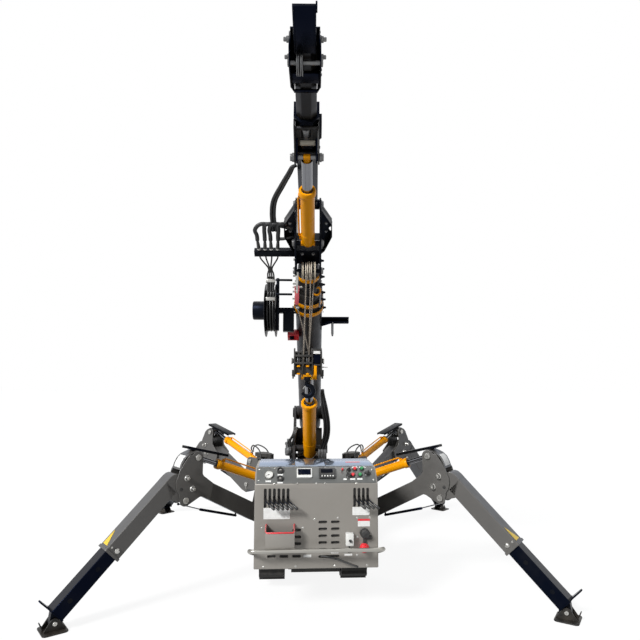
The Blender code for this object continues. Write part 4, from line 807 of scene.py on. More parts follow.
def build_levers():
    """Valve levers: each leans down to the right out of its slot and ends in a black grip."""
    rods = bmesh.new()
    grips = bmesh.new()
    for first, pitch, count in LEVER_BANKS:
        for k in range(count):
            x = first + k * pitch
            root = Vector((x, FRONT + 0.015, LEVER_TOP - 0.056))
            bend = Vector((x + 0.004, FRONT - 0.030, LEVER_TOP - 0.072))
            neck = Vector((x + 0.030, FRONT - 0.052, LEVER_TOP - 0.092))
            tip = Vector((x + 0.060, FRONT - 0.070, LEVER_TOP - 0.116))
            add_run(rods, (root, bend, neck), 0.0042, 6, 2)
            turned(grips, ((0.0, 0.0), (0.0, 0.0055), (0.006, 0.0072), (0.030, 0.0095), (0.040, 0.0092),
                           (0.046, 0.0060), (0.047, 0.0)), neck, tip, 18)
    piece("lever_rods", rods, "satin_black", "carrier", HOSE)
    piece("lever_grips", grips, "black_plastic", "carrier", HOSE)


def build_labels():
    """Blank plates: white cards below the levers and on the panel, one with a red head."""
    bm = bmesh.new()
    for x, z, width, height in ((-0.2565, 0.660, 0.169, 0.070), (0.2885, 0.670, 0.111, 0.051),
                                (0.307, 0.590, 0.078, 0.034), (-0.058, 0.394, 0.050, 0.016),
                                (0.118, 0.415, 0.050, 0.013), (0.205, 0.398, 0.050, 0.012)):
        plate(bm, rounded_rectangle(width, height, 0.002, 2), 0.0008, front_place(x, z, 0.0001))
    for x, up, width in ((-0.313, 0.022, 0.036), (-0.236, 0.072, 0.036), (-0.236, 0.010, 0.036),
                         (0.2585, 0.129, 0.036), (0.3070, 0.129, 0.036), (0.238, 0.034, 0.034),
                         (0.285, 0.034, 0.034), (0.188, 0.034, 0.022)):
        plate(bm, rounded_rectangle(width, 0.012, 0.001, 2), 0.0008, panel_place(x, up, 0.0024))
    piece("blank_labels", bm, "label_white", "carrier")
    bm = bmesh.new()
    plate(bm, rounded_rectangle(0.078, 0.013, 0.002, 2), 0.0009, front_place(0.307, 0.614, 0.0001))
    piece("label_head", bm, "red_plastic", "carrier")


def ring_and_face(rim, face, place, radius, depth, lip=0.004):
    """A round instrument: a bezel ring added to rim and a flat face added to face."""
    boss(rim, ((0.0, radius), (depth * 0.7, radius), (depth, radius - lip * 0.5), (depth, radius - lip),
                 (depth * 0.6, radius - lip * 1.2), (0.0, radius - lip * 1.2)), 36, place)
    bar(face, (0, 0, 0), (0, 0, depth * 0.62), radius - lip * 1.15, 36, None, place)


def add_gauge(black, white, steel):
    """Pressure gauge: a steel ring round a white dial, with its marks, needle and hub in black."""
    gauge = panel_place(-0.311, 0.068, 0.0022)
    ring_and_face(steel, white, gauge, 0.031, 0.012)
    for k in range(11):
        angle = math.radians(225 - 27 * k)
        mark = gauge @ Matrix.Rotation(angle, 4, "Z") @ Matrix.Translation((0.0215, 0, 0.0078))
        box(black, (-0.003, -0.0006, 0), (0.003, 0.0006, 0.0008), mark)
    needle = gauge @ Matrix.Rotation(math.radians(205), 4, "Z") @ Matrix.Translation((0, 0, 0.0082))
    box(black, (-0.005, -0.0009, 0), (0.019, 0.0009, 0.0012), needle)
    bar(black, (0, 0, 0.007), (0, 0, 0.011), 0.003, 16, None, gauge)


def add_capped_sockets(black, steel):
    """Two round sockets, each with a black cap and a steel stud."""
    for up in (0.103, 0.038):
        ring_and_face(black, black, panel_place(-0.236, up, 0.0022), 0.022, 0.016, 0.007)
        bar(steel, (0, 0, 0.009), (0, 0, 0.013), 0.008, 20, None, panel_place(-0.236, up, 0.0022))


def add_displays(black, white, steel):
    """The framed display, and the controller with its window and its row of keys."""
    plate(white, rounded_rectangle(0.100, 0.072, 0.006), 0.010, panel_place(-0.0775, 0.080, 0.0022))
    plate(steel, rounded_rectangle(0.088, 0.049, 0.003), 0.0008, panel_place(-0.0775, 0.087, 0.0121))
    screen = bmesh.new()
    plate(screen, rounded_rectangle(0.082, 0.043, 0.002, 2), 0.0008, panel_place(-0.0775, 0.087, 0.0128))
    piece("display_glass", screen, "dark_display", "carrier")
    plate(black, rounded_rectangle(0.110, 0.082, 0.007), 0.012, panel_place(0.074, 0.078, 0.0022))
    glass = bmesh.new()
    plate(glass, rounded_rectangle(0.078, 0.030, 0.002, 2), 0.0008, panel_place(0.070, 0.092, 0.0142))
    piece("controller_window", glass, "gloss_black", "carrier")
    keys = bmesh.new()
    for k in range(5):
        plate(keys, rounded_rectangle(0.008, 0.010, 0.0015, 2), 0.0022,
              panel_place(0.038 + k * 0.0180, 0.052, 0.0142))
    piece("controller_keys", keys, "white_plastic", "carrier")


def add_knobs(black):
    """Two selector knobs and the larger rotary switch, each with its finger bar turned its own way."""
    for x, up, radius, turn in ((0.217, 0.104, 0.012, 40), (0.216, 0.060, 0.015, -50),
                                (0.340, 0.076, 0.017, 60)):
        here = panel_place(x, up, 0.0022)
        boss(black, ((0.0, radius * 1.25), (0.004, radius * 1.25), (0.006, radius), (0.016, radius * 0.92),
                       (0.018, radius * 0.8), (0.018, 0.0)), 28, here)
        box(black, (-radius * 1.15, -radius * 0.28, 0.014), (radius * 0.9, radius * 0.28, 0.026),
            here @ Matrix.Rotation(math.radians(turn), 4, "Z"))


def build_buttons():
    """Push buttons in black collars, two of them red and two green, and the small red lamp."""
    red, green = ((0.259, 0.113), (0.242, 0.064)), ((0.306, 0.115), (0.290, 0.065))
    for name, finish, spots in (("red_buttons", "red_plastic", red + (RED_LAMP,)),
                                ("green_buttons", "green_plastic", green)):
        caps = bmesh.new()
        for x, up in spots:
            small = 0.6 if (x, up) == RED_LAMP else 1.0
            here = panel_place(x, up, 0.0022)
            boss(caps, ((0.004, 0.0115 * small), (0.013, 0.0115 * small), (0.016, 0.009 * small),
                        (0.017, 0.0)), 24, here)
        piece(name, caps, finish, "carrier", ROUND)
    collars = bmesh.new()
    for x, up in red + green:
        boss(collars, ((0.0, 0.0155), (0.006, 0.0155), (0.008, 0.0135), (0.008, 0.0118), (0.0, 0.0118)), 28,
             panel_place(x, up, 0.0022))
    piece("button_collars", collars, "black_plastic", "carrier", ROUND)


def build_instruments():
    """All that stands on the sloped panel."""
    black = bmesh.new()
    white = bmesh.new()
    steel = bmesh.new()
    add_gauge(black, white, steel)
    add_capped_sockets(black, steel)
    add_displays(black, white, steel)
    add_knobs(black)
    piece("instrument_black", black, "black_plastic", "carrier", ROUND, 0.0005)
    piece("instrument_white", white, "white_plastic", "carrier", ROUND)
    piece("instrument_rims", steel, "plated_steel", "carrier", ROUND)
    build_buttons()


def build_switch_box():
    """White switch box at the console's right, a black gland in its front and its cable below."""
    white = bmesh.new()
    box(white, (0.187, FRONT - 0.045, 0.464), (0.236, FRONT - 0.001, 0.540))
    piece("switch_box", white, "white_plastic", "carrier", CRISP, 0.003)
    black = bmesh.new()
    turned(black, ((0.0, 0.0095), (0.008, 0.009), (0.012, 0.006), (0.012, 0.0)),
           (0.214, FRONT - 0.045, 0.496), (0.214, FRONT - 0.145, 0.496), 24)
    add_socket(black)
    piece("capped_socket", black, "black_plastic", "carrier", TURNED, 0.0012)
    cable = bmesh.new()
    add_run(cable, ((0.211, FRONT - 0.020, 0.466), (0.211, FRONT - 0.020, 0.446),
                    (0.209, FRONT - 0.012, 0.425), (0.208, FRONT + 0.004, 0.410)), 0.0045, 6, 3)
    piece("switch_cable", cable, "hose_rubber", "carrier", HOSE)


def add_socket(black):
    """Round power socket with its screw cap and two lugs."""
    socket = front_place(0.311, 0.533)
    plate(black, [(0.031 * math.cos(a) * (1.0 if k % 2 else 1.08), 0.031 * math.sin(a)) for k, a in
                  enumerate(math.radians(30 * n) for n in range(12))], 0.018, socket)
    boss(black, ((0.018, 0.026), (0.040, 0.025), (0.044, 0.021), (0.044, 0.0)), 32, socket)
    box(black, (0.010, -0.040, 0.0), (0.046, -0.018, 0.014), socket)
    box(black, (-0.010, -0.062, 0.0), (0.012, -0.030, 0.010), socket)


def build_isolator():
    """Red battery isolator, its key turned a little clockwise."""
    red = bmesh.new()
    isolator = front_place(0.308, 0.441)
    bar(red, (0, 0, 0), (0, 0, 0.014), 0.030, 32, None, isolator)
    boss(red, ((0.014, 0.024), (0.026, 0.022), (0.030, 0.018), (0.030, 0.0)), 28, isolator)
    box(red, (-0.0075, -0.021, 0.020), (0.0075, 0.021, 0.048),
        isolator @ Matrix.Rotation(math.radians(-35), 4, "Z"))
    piece("isolator_key", red, "red_plastic", "carrier", TURNED, 0.0012)


def build_front_lever():
    """Long black lever that slants down to the right under the vents."""
    lever = bmesh.new()
    add_run(lever, ((0.030, FRONT + 0.010, 0.391), (0.075, FRONT - 0.010, 0.389),
                    (0.135, FRONT - 0.028, 0.380), (0.200, FRONT - 0.045, 0.360),
                    (0.262, FRONT - 0.060, 0.341)), 0.0065, 6, 4)
    piece("front_lever", lever, "black_plastic", "carrier", HOSE)


def build_console():
    """The console, from its housing to its last switch."""
    build_housing()
    build_panel_skin()
    build_console_screws()
    build_tray()
    build_handle_bar()
    build_levers()
    build_labels()
    build_instruments()
    build_switch_box()
    build_isolator()
    build_front_lever()


# Outrigger legs. In a leg's own frame X runs outwards from its post and Z is the height.

KNUCKLE_TOP = (0.708, 0.961)
KNUCKLE_PIN = (0.797, 0.674)
PLATE_FACE = 0.0755        # outer face of a knuckle plate, from the leg's middle plane
LOCK_PINS = ((0.790, 0.826), (0.747, 0.749))
PLATE_HOLE = (0.830, 0.752)
LEG_SLOPE = 44.2           # degrees below the horizontal
LEG_TOP = (0.900, 0.903)
LEG_RIDGE = -0.038         # the leg box's upper face, from the line down the leg
LEG_DEPTH = 0.112
LEG_HALF = 0.065
LEG_WALL = 0.0065
LEG_END = 0.640            # from LEG_TOP down to the collar's end
SLIDER_HALF = 0.0560
SLIDER_RIDGE = -0.0475
SLIDER_DEPTH = 0.092
SLIDER_END = 1.068         # from LEG_TOP down the leg
PLATE = 0.010
ARM_HUB = (0.130, 0.505)
ARM_HALF = 0.052
PAD_LENGTH = 0.150
PAD_WIDTH = 0.170
FOOT_PIN = (1.606, 0.052)
RAM_PIN = (0.085, 0.728)
RAM_RADIUS = 0.0315
RAM_MOUTH = 0.470          # from the barrel's eye to its mouth


def down_the_leg(distance, above=0.0):
    """A point down the outer leg from its top, above or below its upper edge."""
    slope = math.radians(LEG_SLOPE)
    return (LEG_TOP[0] + distance * math.cos(slope) + above * math.sin(slope),
            LEG_TOP[1] - distance * math.sin(slope) + above * math.cos(slope))


def pin_head(bm, point, side, face, radius, out, place):
    """A pin's turned head standing out of a plate's face, with a chamfer and a small centre hole."""
    turned(bm, ((0.0, radius), (out - 0.002, radius), (out, radius - 0.002), (out, 0.0045),
                (out - 0.004, 0.003), (out - 0.004, 0.0)), (point[0], side * face, point[1]),
           (point[0], side * (face + 0.1), point[1]), 32, place)


def hex_bolt(bm, spot, way, size, place=None):
    """Hexagon bolt head on its washer; size is the distance across the corners."""
    spot, way = Vector(spot), Vector(way).normalized()
    bar(bm, spot, spot + way * size * 0.10, size * 0.62, 24, None, place)
    bar(bm, spot + way * size * 0.10, spot + way * size * 0.48, size * 0.5, 6, None, place)
    bar(bm, spot + way * size * 0.46, spot + way * size * 0.55, size * 0.40, 24, size * 0.34, place)


def knuckle_hardware(label, place):
    """Heads of the two knuckle pins, the two lock pins with their knobs, and the open hole, drawn as a black
    disc on each plate: painted shade.
    """
    steel = bmesh.new()
    dark = bmesh.new()
    for side in (-1, 1):
        for point in (KNUCKLE_TOP, KNUCKLE_PIN):
            pin_head(steel, point, side, PLATE_FACE, 0.0215, 0.0135, place)
        for point in LOCK_PINS:
            spot = (point[0], side * (PLATE_FACE - 0.002), point[1])
            end = (point[0], side * (PLATE_FACE + 0.05), point[1])
            turned(steel, ((0.0, 0.020), (0.006, 0.020), (0.008, 0.017), (0.012, 0.014), (0.028, 0.0145),
                           (0.034, 0.012), (0.036, 0.0)), spot, end, 32, place)
        # A thin black disc on each plate's face stands for the open hole: painted shade.
        hole = (PLATE_HOLE[0], side * PLATE_FACE, PLATE_HOLE[1])
        bar(dark, hole, (hole[0], side * (PLATE_FACE + 0.0008), hole[2]), 0.0125, 28, None, place)
    leg_piece("knuckle_pins", steel, "plated_steel", "leg_arm", label, ROUND)
    leg_piece("knuckle_hole_shade", dark, "black_plastic", "leg_arm", label, ROUND)


def collar_bolts(label, place):
    """Round plugs and small bolts in the collar at the outer leg's end."""
    bm = bmesh.new()
    for side in (-1, 1):
        spot = down_the_leg(LEG_END - 0.045, LEG_RIDGE - LEG_DEPTH * 0.58)
        turned(bm, ((0.0, 0.017), (0.003, 0.017), (0.007, 0.013), (0.010, 0.007), (0.011, 0.0)),
               (spot[0], side * LEG_HALF, spot[1]), (spot[0], side * (LEG_HALF + 0.1), spot[1]), 28, place)
        spot = down_the_leg(LEG_END - 0.040, LEG_RIDGE - LEG_DEPTH * 0.18)
        hex_bolt(bm, (spot[0], side * LEG_HALF, spot[1]), (0, side, 0), 0.011, place)
    leg_piece("collar_bolts", bm, "plated_steel", "leg_outer", label, ROUND)


def foot_pin(label, place):
    """The pin that the foot tilts on, with its two heads."""
    bm = bmesh.new()
    for side in (-1, 1):
        pin_head(bm, FOOT_PIN, side, 0.0400, 0.0135, 0.012, place)
    bar(bm, (FOOT_PIN[0], -0.041, FOOT_PIN[1]), (FOOT_PIN[0], 0.041, FOOT_PIN[1]), 0.0115, 24, None, place)
    leg_piece("foot_pin", bm, "plated_steel", "leg_foot", label, ROUND)


def along_leg(place):
    """The frame of the leg box: X down the leg, Y across it, Z square above it."""
    slope = math.radians(LEG_SLOPE)
    ahead = Vector((math.cos(slope), 0, -math.sin(slope)))
    across = Vector((0, 1, 0))
    return place @ axes((LEG_TOP[0], 0, LEG_TOP[1]), ahead, across, ahead.cross(across))


def leg_stickers(label, place):
    """Blank yellow sticker above the collar: a triangle that points up the leg."""
    here = along_leg(place) @ Matrix.Translation((LEG_END, 0, LEG_RIDGE + 0.0004))
    bm = bmesh.new()
    plate(bm, [(-0.030, -0.044), (-0.030, 0.034), (-0.135, -0.044)], 0.0012, here)
    leg_piece("yellow_sticker", bm, "yellow_plastic", "leg_outer", label)


def knuckle_outline():
    """One knuckle plate: round at its two pins, bulged outwards, with the root that clasps the arm."""
    top, low = KNUCKLE_TOP, KNUCKLE_PIN
    return (arc(top, 0.043, 178, 30, 14) + [(0.774, 0.978), (0.809, 0.932), (0.842, 0.880)]
            + arc((0.752, 0.790), 0.117, 32, -38, 12) + arc(low, 0.042, -30, -128, 12)
            + [(0.730, 0.662), (0.690, 0.683), (0.672, 0.686), (0.606, 0.652), (0.580, 0.766)]
            + arc((0.630, 0.853), 0.038, -62, 0, 8) + [(0.6675, 0.900)])


def arm_box(label, place):
    """Inner arm: a box beam from its hub at the post, and the two knuckle plates that clasp its end."""
    bm = bmesh.new()
    hub = arc(ARM_HUB, 0.052, 90, 270, 16)
    side_plate(bm, hub + [(0.160, 0.422), (0.220, 0.440), (0.690, 0.696), (0.690, 0.806), (0.664, 0.812),
                          (0.2146, 0.5749), (0.160, 0.556)], -ARM_HALF, ARM_HALF, place)
    flat_faced(leg_piece("arm_beam", bm, "leg_paint", "leg_arm", label, PRESSED, 0.0035))
    bm = bmesh.new()
    for low, high in ((PLATE_FACE - PLATE, PLATE_FACE), (-PLATE_FACE, PLATE - PLATE_FACE)):
        side_plate(bm, knuckle_outline(), low, high, place)
        inner = min(abs(low), abs(high))
        side = 1 if low > 0 else -1
        ends = sorted((side * (ARM_HALF - 0.003), side * (inner + 0.002)))
        side_plate(bm, [(0.600, 0.657), (0.640, 0.678), (0.640, 0.792), (0.590, 0.766)], *ends, place)
    flat_faced(leg_piece("knuckle_plates", bm, "leg_paint", "leg_arm", label, PRESSED, 0.0022,
                         ("inner_arm",)))


def outer_box(label, place):
    """Outer leg: a hollow rounded box with a collar, hung from the knuckle pin by its two lugs."""
    here = along_leg(place)
    middle = LEG_RIDGE - LEG_DEPTH / 2

    def loop(width, depth, radius):
        return [(y, z + middle) for y, z in rounded_rectangle(width, depth, radius, 4)]

    outer = loop(2 * LEG_HALF, LEG_DEPTH, 0.006)
    inner = loop(2 * (LEG_HALF - LEG_WALL), LEG_DEPTH - 2 * LEG_WALL, 0.0015)
    rim = loop(2 * LEG_HALF + 0.012, LEG_DEPTH + 0.012, 0.010)
    rim_edge = loop(2 * LEG_HALF + 0.009, LEG_DEPTH + 0.009, 0.009)
    end = LEG_END
    bm = bmesh.new()
    tube_loft(bm, ((0.090, outer, inner), (end - 0.0195, outer, inner), (end - 0.019, rim_edge, inner),
                   (end - 0.0175, rim, inner), (end - 0.0015, rim, inner), (end, rim_edge, inner)), here)
    flat_faced(leg_piece("leg_box", bm, "leg_paint", "leg_outer", label, PRESSED))
    bm = bmesh.new()
    head = [down_the_leg(*spot) for spot in (
        (0.0905, LEG_RIDGE), (0.052, LEG_RIDGE), (0.026, LEG_RIDGE - 0.004), (0.006, LEG_RIDGE - 0.016),
        (-0.006, LEG_RIDGE - 0.036), (-0.006, LEG_RIDGE - 0.060), (0.004, LEG_RIDGE - LEG_DEPTH))]
    tail = [down_the_leg(*spot) for spot in ((0.150, LEG_RIDGE - LEG_DEPTH), (0.0905, LEG_RIDGE - LEG_DEPTH))]
    lug = arc(KNUCKLE_PIN, 0.034, 165, 340, 14)
    side_plate(bm, head + tail[::-1], -LEG_HALF, LEG_HALF, place)
    for low, high in ((LEG_HALF - 0.012, LEG_HALF - 0.0002), (0.0002 - LEG_HALF, 0.012 - LEG_HALF)):
        side_plate(bm, [down_the_leg(0.006, LEG_RIDGE - LEG_DEPTH + 0.004)] + lug
                   + [down_the_leg(0.160, LEG_RIDGE - LEG_DEPTH + 0.004)], low, high, place)
    flat_faced(leg_piece("leg_head", bm, "leg_paint", "leg_outer", label, PRESSED, 0.0035, ("outer_leg",)))


def slider_box(label, place):
    """Sliding leg: a rounded box with two pin holes drawn as black discs (painted shade), an end plate with a
    lashing eye, the foot's tongue.
    """
    here = along_leg(place)
    middle = SLIDER_RIDGE - SLIDER_DEPTH / 2
    start, end = LEG_END - 0.232, SLIDER_END

    def loop(grow, radius):
        return [(y, z + middle) for y, z in
                rounded_rectangle(2 * SLIDER_HALF + grow, SLIDER_DEPTH + grow, radius, 5)]

    body, inside = loop(0.0, 0.007), loop(-0.012, 0.003)
    bm = bmesh.new()
    tube_loft(bm, ((start, body, inside), (end - 0.010, body, inside)), here)
    flat_faced(leg_piece("slider_box", bm, "gloss_black", "leg_slider", label, PRESSED))
    bm = bmesh.new()
    low, high = middle - SLIDER_DEPTH / 2 - 0.003, SLIDER_RIDGE + 0.094
    shape = ([(SLIDER_HALF + 0.002, low), (SLIDER_HALF + 0.002, SLIDER_RIDGE + 0.002),
              (0.030, SLIDER_RIDGE + 0.012)] + arc((0.010, high - 0.020), 0.020, 20, 160, 8)
             + [(-0.020, SLIDER_RIDGE + 0.012), (-SLIDER_HALF - 0.002, SLIDER_RIDGE + 0.002),
                (-SLIDER_HALF - 0.002, low)])
    plate(bm, shape, 0.010, here @ Matrix.Translation((end - 0.010, 0, 0)) @ ACROSS)
    flat_faced(leg_piece("slider_end", bm, "gloss_black", "leg_slider", label, PRESSED, 0.002))
    bm = bmesh.new()
    root = [down_the_leg(end - 0.002, middle + 0.036), down_the_leg(end - 0.002, middle - 0.036)]
    side_plate(bm, [root[0]] + arc(FOOT_PIN, 0.028, 25, -115, 12) + [root[1]], -0.026, 0.026, place)
    flat_faced(leg_piece("slider_tongue", bm, "satin_black", "leg_slider", label, PRESSED, 0.002,
                 ("slider",)))
    bm = bmesh.new()
    # Thin black discs on the sides stand for the pin holes: painted shade.
    for along in (0.742, 0.962):
        spot = down_the_leg(along, middle + 0.004)
        for side in (-1, 1):
            bar(bm, (spot[0], side * (SLIDER_HALF - 0.001), spot[1]),
                (spot[0], side * (SLIDER_HALF + 0.0006), spot[1]), 0.0150, 28, None, place)
    leg_piece("slider_hole_shade", bm, "satin_black", "leg_slider", label, ROUND)


def foot_pad(label, place):
    """Foot: a pressed pad with rounded edges, two rounded ears on its pin and a small grab fin."""
    x, z = FOOT_PIN
    here = place @ Matrix.Translation((x, 0, 0))
    bm = bmesh.new()
    plate(bm, rounded_rectangle(PAD_LENGTH, PAD_WIDTH, 0.024, 5), 0.009, here)
    leg_piece("pad", bm, "foot_paint", "leg_foot", label, ROUND, 0.0025)
    bm = bmesh.new()
    for low, high in ((0.030, 0.040), (-0.040, -0.030)):
        side_plate(bm, [(x - 0.066, 0.0085), (x + 0.060, 0.0085), (x + 0.058, 0.020)]
                   + arc((x, z), 0.029, 28, 152, 10) + [(x - 0.064, 0.020)], low, high, place)
    side_plate(bm, [(x - 0.004, 0.0085), (x + 0.004, 0.0085), (x + 0.004, 0.018), (x - 0.004, 0.018)], -0.030,
               0.030, place)
    side_plate(bm, [(x + 0.052, 0.008), (x + 0.060, 0.008), (x + 0.082, 0.058), (x + 0.076, 0.061)], -0.016,
               0.016, place)
    flat_faced(leg_piece("foot_ears", bm, "foot_paint", "leg_foot", label, PRESSED, 0.002, ("foot",)))


def knuckle_cap(label, place):
    """Curved sheet over the knuckle between its two plates, its blank white sticker and a brace."""
    line = arc(KNUCKLE_TOP, 0.045, 100, 62, 5)
    line += [(0.752, 0.993), (0.778, 0.982), (0.806, 0.958), (0.826, 0.922), (0.838, 0.884)]
    bm = bmesh.new()
    half = PLATE_FACE - PLATE + 0.001
    thick = 0.006
    rows = []
    for k, point in enumerate(line):
        before, after = Vector(line[max(k - 1, 0)]), Vector(line[min(k + 1, len(line) - 1)])
        way = (after - before).normalized()
        inner = Vector(point) + Vector((way.y, -way.x)) * thick
        corners = ((inner, -half), (inner, half), (point, half), (point, -half))
        rows.append([bm.verts.new((spot[0], y, spot[1])) for spot, y in corners])
    for one, two in zip(rows, rows[1:]):
        for k in range(4):
            bm.faces.new((one[k], one[(k + 1) % 4], two[(k + 1) % 4], two[k]))
    bm.faces.new(rows[0])
    bm.faces.new(rows[-1][::-1])
    bmesh.ops.recalc_face_normals(bm, faces=bm.faces)
    bmesh.ops.transform(bm, matrix=place, verts=bm.verts)
    leg_piece("knuckle_cap", bm, "leg_paint", "leg_arm", label, ROUND)
    bm = bmesh.new()
    rows = []
    for first, second, share in ((7, 8, 0.3), (7, 8, 1.0), (8, 9, 1.0), (9, 10, 0.62)):
        nearer, farther = Vector(line[first]), Vector(line[second])
        way = (farther - nearer).normalized()
        out = nearer.lerp(farther, share) + Vector((-way.y, way.x)) * 0.0012
        rows.append([bm.verts.new((out.x, y, out.y)) for y in (-0.046, 0.046)])
    for one, two in zip(rows, rows[1:]):
        bm.faces.new((one[0], one[1], two[1], two[0]))
    bmesh.ops.recalc_face_normals(bm, faces=bm.faces)
    bmesh.ops.solidify(bm, geom=bm.faces[:], thickness=0.0008)
    bmesh.ops.transform(bm, matrix=place, verts=bm.verts)
    leg_piece("white_sticker", bm, "label_white", "leg_arm", label, ROUND)
    bm = bmesh.new()
    box(bm, (0.6875, -half, 0.940), (0.700, half, 0.985), place)
    leg_piece("knuckle_brace", bm, "leg_paint", "leg_arm", label, ROUND)


def ram_place(start, end, place):
    """A cylinder's frame: X along it from its barrel's eye, Y across."""
    ahead = Vector((end[0] - start[0], 0, end[1] - start[1])).normalized()
    side = Vector((0, 1, 0))
    return place @ axes((start[0], 0, start[1]), ahead, side, ahead.cross(side))


def leg_ram(label, place):
    """Leg cylinder: welded barrel with its gland, end eye and return pipe; chromed rod with its eye."""
    here = ram_place(RAM_PIN, KNUCKLE_TOP, place)
    reach = math.hypot(KNUCKLE_TOP[0] - RAM_PIN[0], KNUCKLE_TOP[1] - RAM_PIN[1])
    r, mouth = RAM_RADIUS, RAM_MOUTH
    bm = bmesh.new()
    turned(bm, ((0.016, 0.0), (0.016, r - 0.008), (0.022, r - 0.002), (0.030, r), (0.056, r),
                (0.058, r + 0.0012), (0.062, r + 0.0012), (0.064, r), (mouth - 0.034, r),
                (mouth - 0.032, r * 1.16), (mouth - 0.028, r * 1.19), (mouth - 0.004, r * 1.19),
                (mouth, r * 1.12), (mouth, 0.0182)), *ALONG_X, 48, here)
    bar(bm, (0, -0.0425, 0), (0, 0.0425, 0), 0.029, 36, None, here)
    leg_piece("leg_barrel", bm, "cylinder_orange", "leg_ram", label, TURNED, 0.0, ("ram_barrel",))
    bm = bmesh.new()
    for along in (0.075, mouth - 0.050):
        box(bm, (along - 0.012, -0.010, r - 0.003), (along + 0.012, 0.010, r + 0.014), here)
    add_run(bm, ((mouth - 0.050, 0, r + 0.012), (mouth - 0.062, 0, r + 0.020), (mouth - 0.085, 0, r + 0.023),
                 (0.20, 0, r + 0.023), (0.115, 0, r + 0.022), (0.093, 0, r + 0.018), (0.083, 0, r + 0.010)),
            0.0055, 4, 3, here)
    leg_piece("return_pipe", bm, "cylinder_orange", "leg_ram", label, BENT)
    bm = bmesh.new()
    bar(bm, (mouth + 0.0006, 0, 0), (mouth + 0.004, 0, 0), r * 0.86, 40, None, here)
    for k in range(4):
        angle = math.radians(45 + 90 * k)
        bar(bm, (mouth - 0.001, r * 0.98 * math.cos(angle), r * 0.98 * math.sin(angle)),
            (mouth + 0.001, r * 0.98 * math.cos(angle), r * 0.98 * math.sin(angle)), 0.003, 12, None, here)
    leg_piece("gland", bm, "hose_rubber", "leg_ram", label, BENT)
    bm = bmesh.new()
    turned(bm, ((mouth - 0.290, 0.0), (mouth - 0.290, 0.0175), (reach - 0.014, 0.0175)), *ALONG_X, 40, here)
    bar(bm, (reach, -0.036, 0), (reach, 0.036, 0), 0.0255, 36, None, here)
    leg_piece("leg_rod", bm, "hard_chrome", "leg_rod", label, TURNED, 0.0, ("ram_rod",))
    bm = bmesh.new()
    for along, y in ((0.075, -0.006), (0.075, 0.006)):
        hex_bolt(bm, (along, y * 1.2, r + 0.013), (0, 0, 1), 0.012, here)
    bar(bm, (0.075, 0, r + 0.012), (0.075, 0, r + 0.040), 0.0075, 6, None, here)
    leg_piece("ram_fittings", bm, "plated_steel", "leg_ram", label, ROUND)


def gas_strut(label, place):
    """Strut below the arm: a thin rod out of a black tube, with a ball eye at each end."""
    eye, mouth, end = (0.806, 0.634), (0.640, 0.574), (0.347, 0.490)
    y = -0.022
    tube = bmesh.new()
    rod = bmesh.new()
    bar(rod, (eye[0], y, eye[1]), (mouth[0] - 0.03, y, mouth[1] - 0.009), 0.004, 16, None, place)
    turned(tube, ((0.0, 0.0), (0.0, 0.007), (0.006, 0.0095), (0.300, 0.0095), (0.312, 0.006), (0.312, 0.0)),
           (mouth[0], y, mouth[1]), (end[0], y, end[1]), 24, place)
    for spot in ((end[0] - 0.006, y, end[1] - 0.002), (eye[0], y, eye[1])):
        bmesh.ops.create_icosphere(tube, subdivisions=2, radius=0.0095, matrix=place
                                   @ Matrix.Translation(spot))
    bar(tube, (end[0] - 0.006, y, end[1] - 0.002), (end[0] - 0.006, y, end[1] + 0.045), 0.006, 12, None,
        place)
    leg_piece("strut_tube", tube, "gloss_black", "leg_arm", label, ROUND)
    leg_piece("strut_rod", rod, "hard_chrome", "leg_arm", label, ROUND)


def leg_guard(label, place):
    """Black sheet that shields the cylinder's rod, on two ears."""
    bm = bmesh.new()
    here = place @ Matrix.Translation((0.450, 0, 0.954)) @ Matrix.Rotation(math.radians(-14.4), 4, "Y")
    box(bm, (-0.004, -0.0465, -0.0050), (0.336, 0.0465, 0.0050), here)
    box(bm, (-0.004, -0.0465, -0.014), (0.336, -0.0415, 0.004), here)
    box(bm, (-0.004, 0.0415, -0.014), (0.336, 0.0465, 0.004), here)
    leg_piece("rod_guard", bm, "satin_black", "leg_arm", label, CRISP, 0.001)


def leg_hoses(label, place):
    """Two pressure hoses from the cylinder's valve down the post, and their steel end fittings."""
    here = ram_place(RAM_PIN, KNUCKLE_TOP, place)
    top = place.inverted() @ (here @ Vector((0.075, 0, RAM_RADIUS + 0.036)))
    rubber = bmesh.new()
    for y, sway in ((-0.012, -0.03), (0.012, 0.03)):
        add_run(rubber, ((top.x, y, top.z), (top.x - 0.008, y * 1.4, top.z + 0.035),
                         (top.x - 0.060, y * 2.5, top.z + 0.055), (-0.030, sway * 1.6, top.z + 0.010),
                         (-0.075, sway * 2.0, 0.700), (-0.080, sway * 1.8, 0.600), (-0.060, sway, 0.520)),
                0.0062, 7, 3, place)
    leg_piece("leg_hoses", rubber, "braided_hose", "leg_swing", label, HOSE)
    steel = bmesh.new()
    for y in (-0.012, 0.012):
        turned(steel, ((0.0, 0.0085), (0.008, 0.0085), (0.010, 0.0072), (0.026, 0.0068), (0.026, 0.0)),
               (top.x, y, top.z - 0.014), (top.x - 0.002, y, top.z + 0.05), 20, place)
    leg_piece("hose_ends", steel, "plated_steel", "leg_ram", label, ROUND)


def post_details(label, place):
    """The post's pins, and a bolt beside each of their heads."""
    bm = bmesh.new()
    for point in ((0.130, 0.505), RAM_PIN):
        for side in (-1, 1):
            pin_head(bm, point, side, 0.0705, 0.0215, 0.011, place)
            hex_bolt(bm, (point[0] + 0.004, side * 0.0705, point[1] - 0.034), (0, side, 0), 0.012, place)
    leg_piece("post_pins", bm, "plated_steel", "leg_swing", label, ROUND)


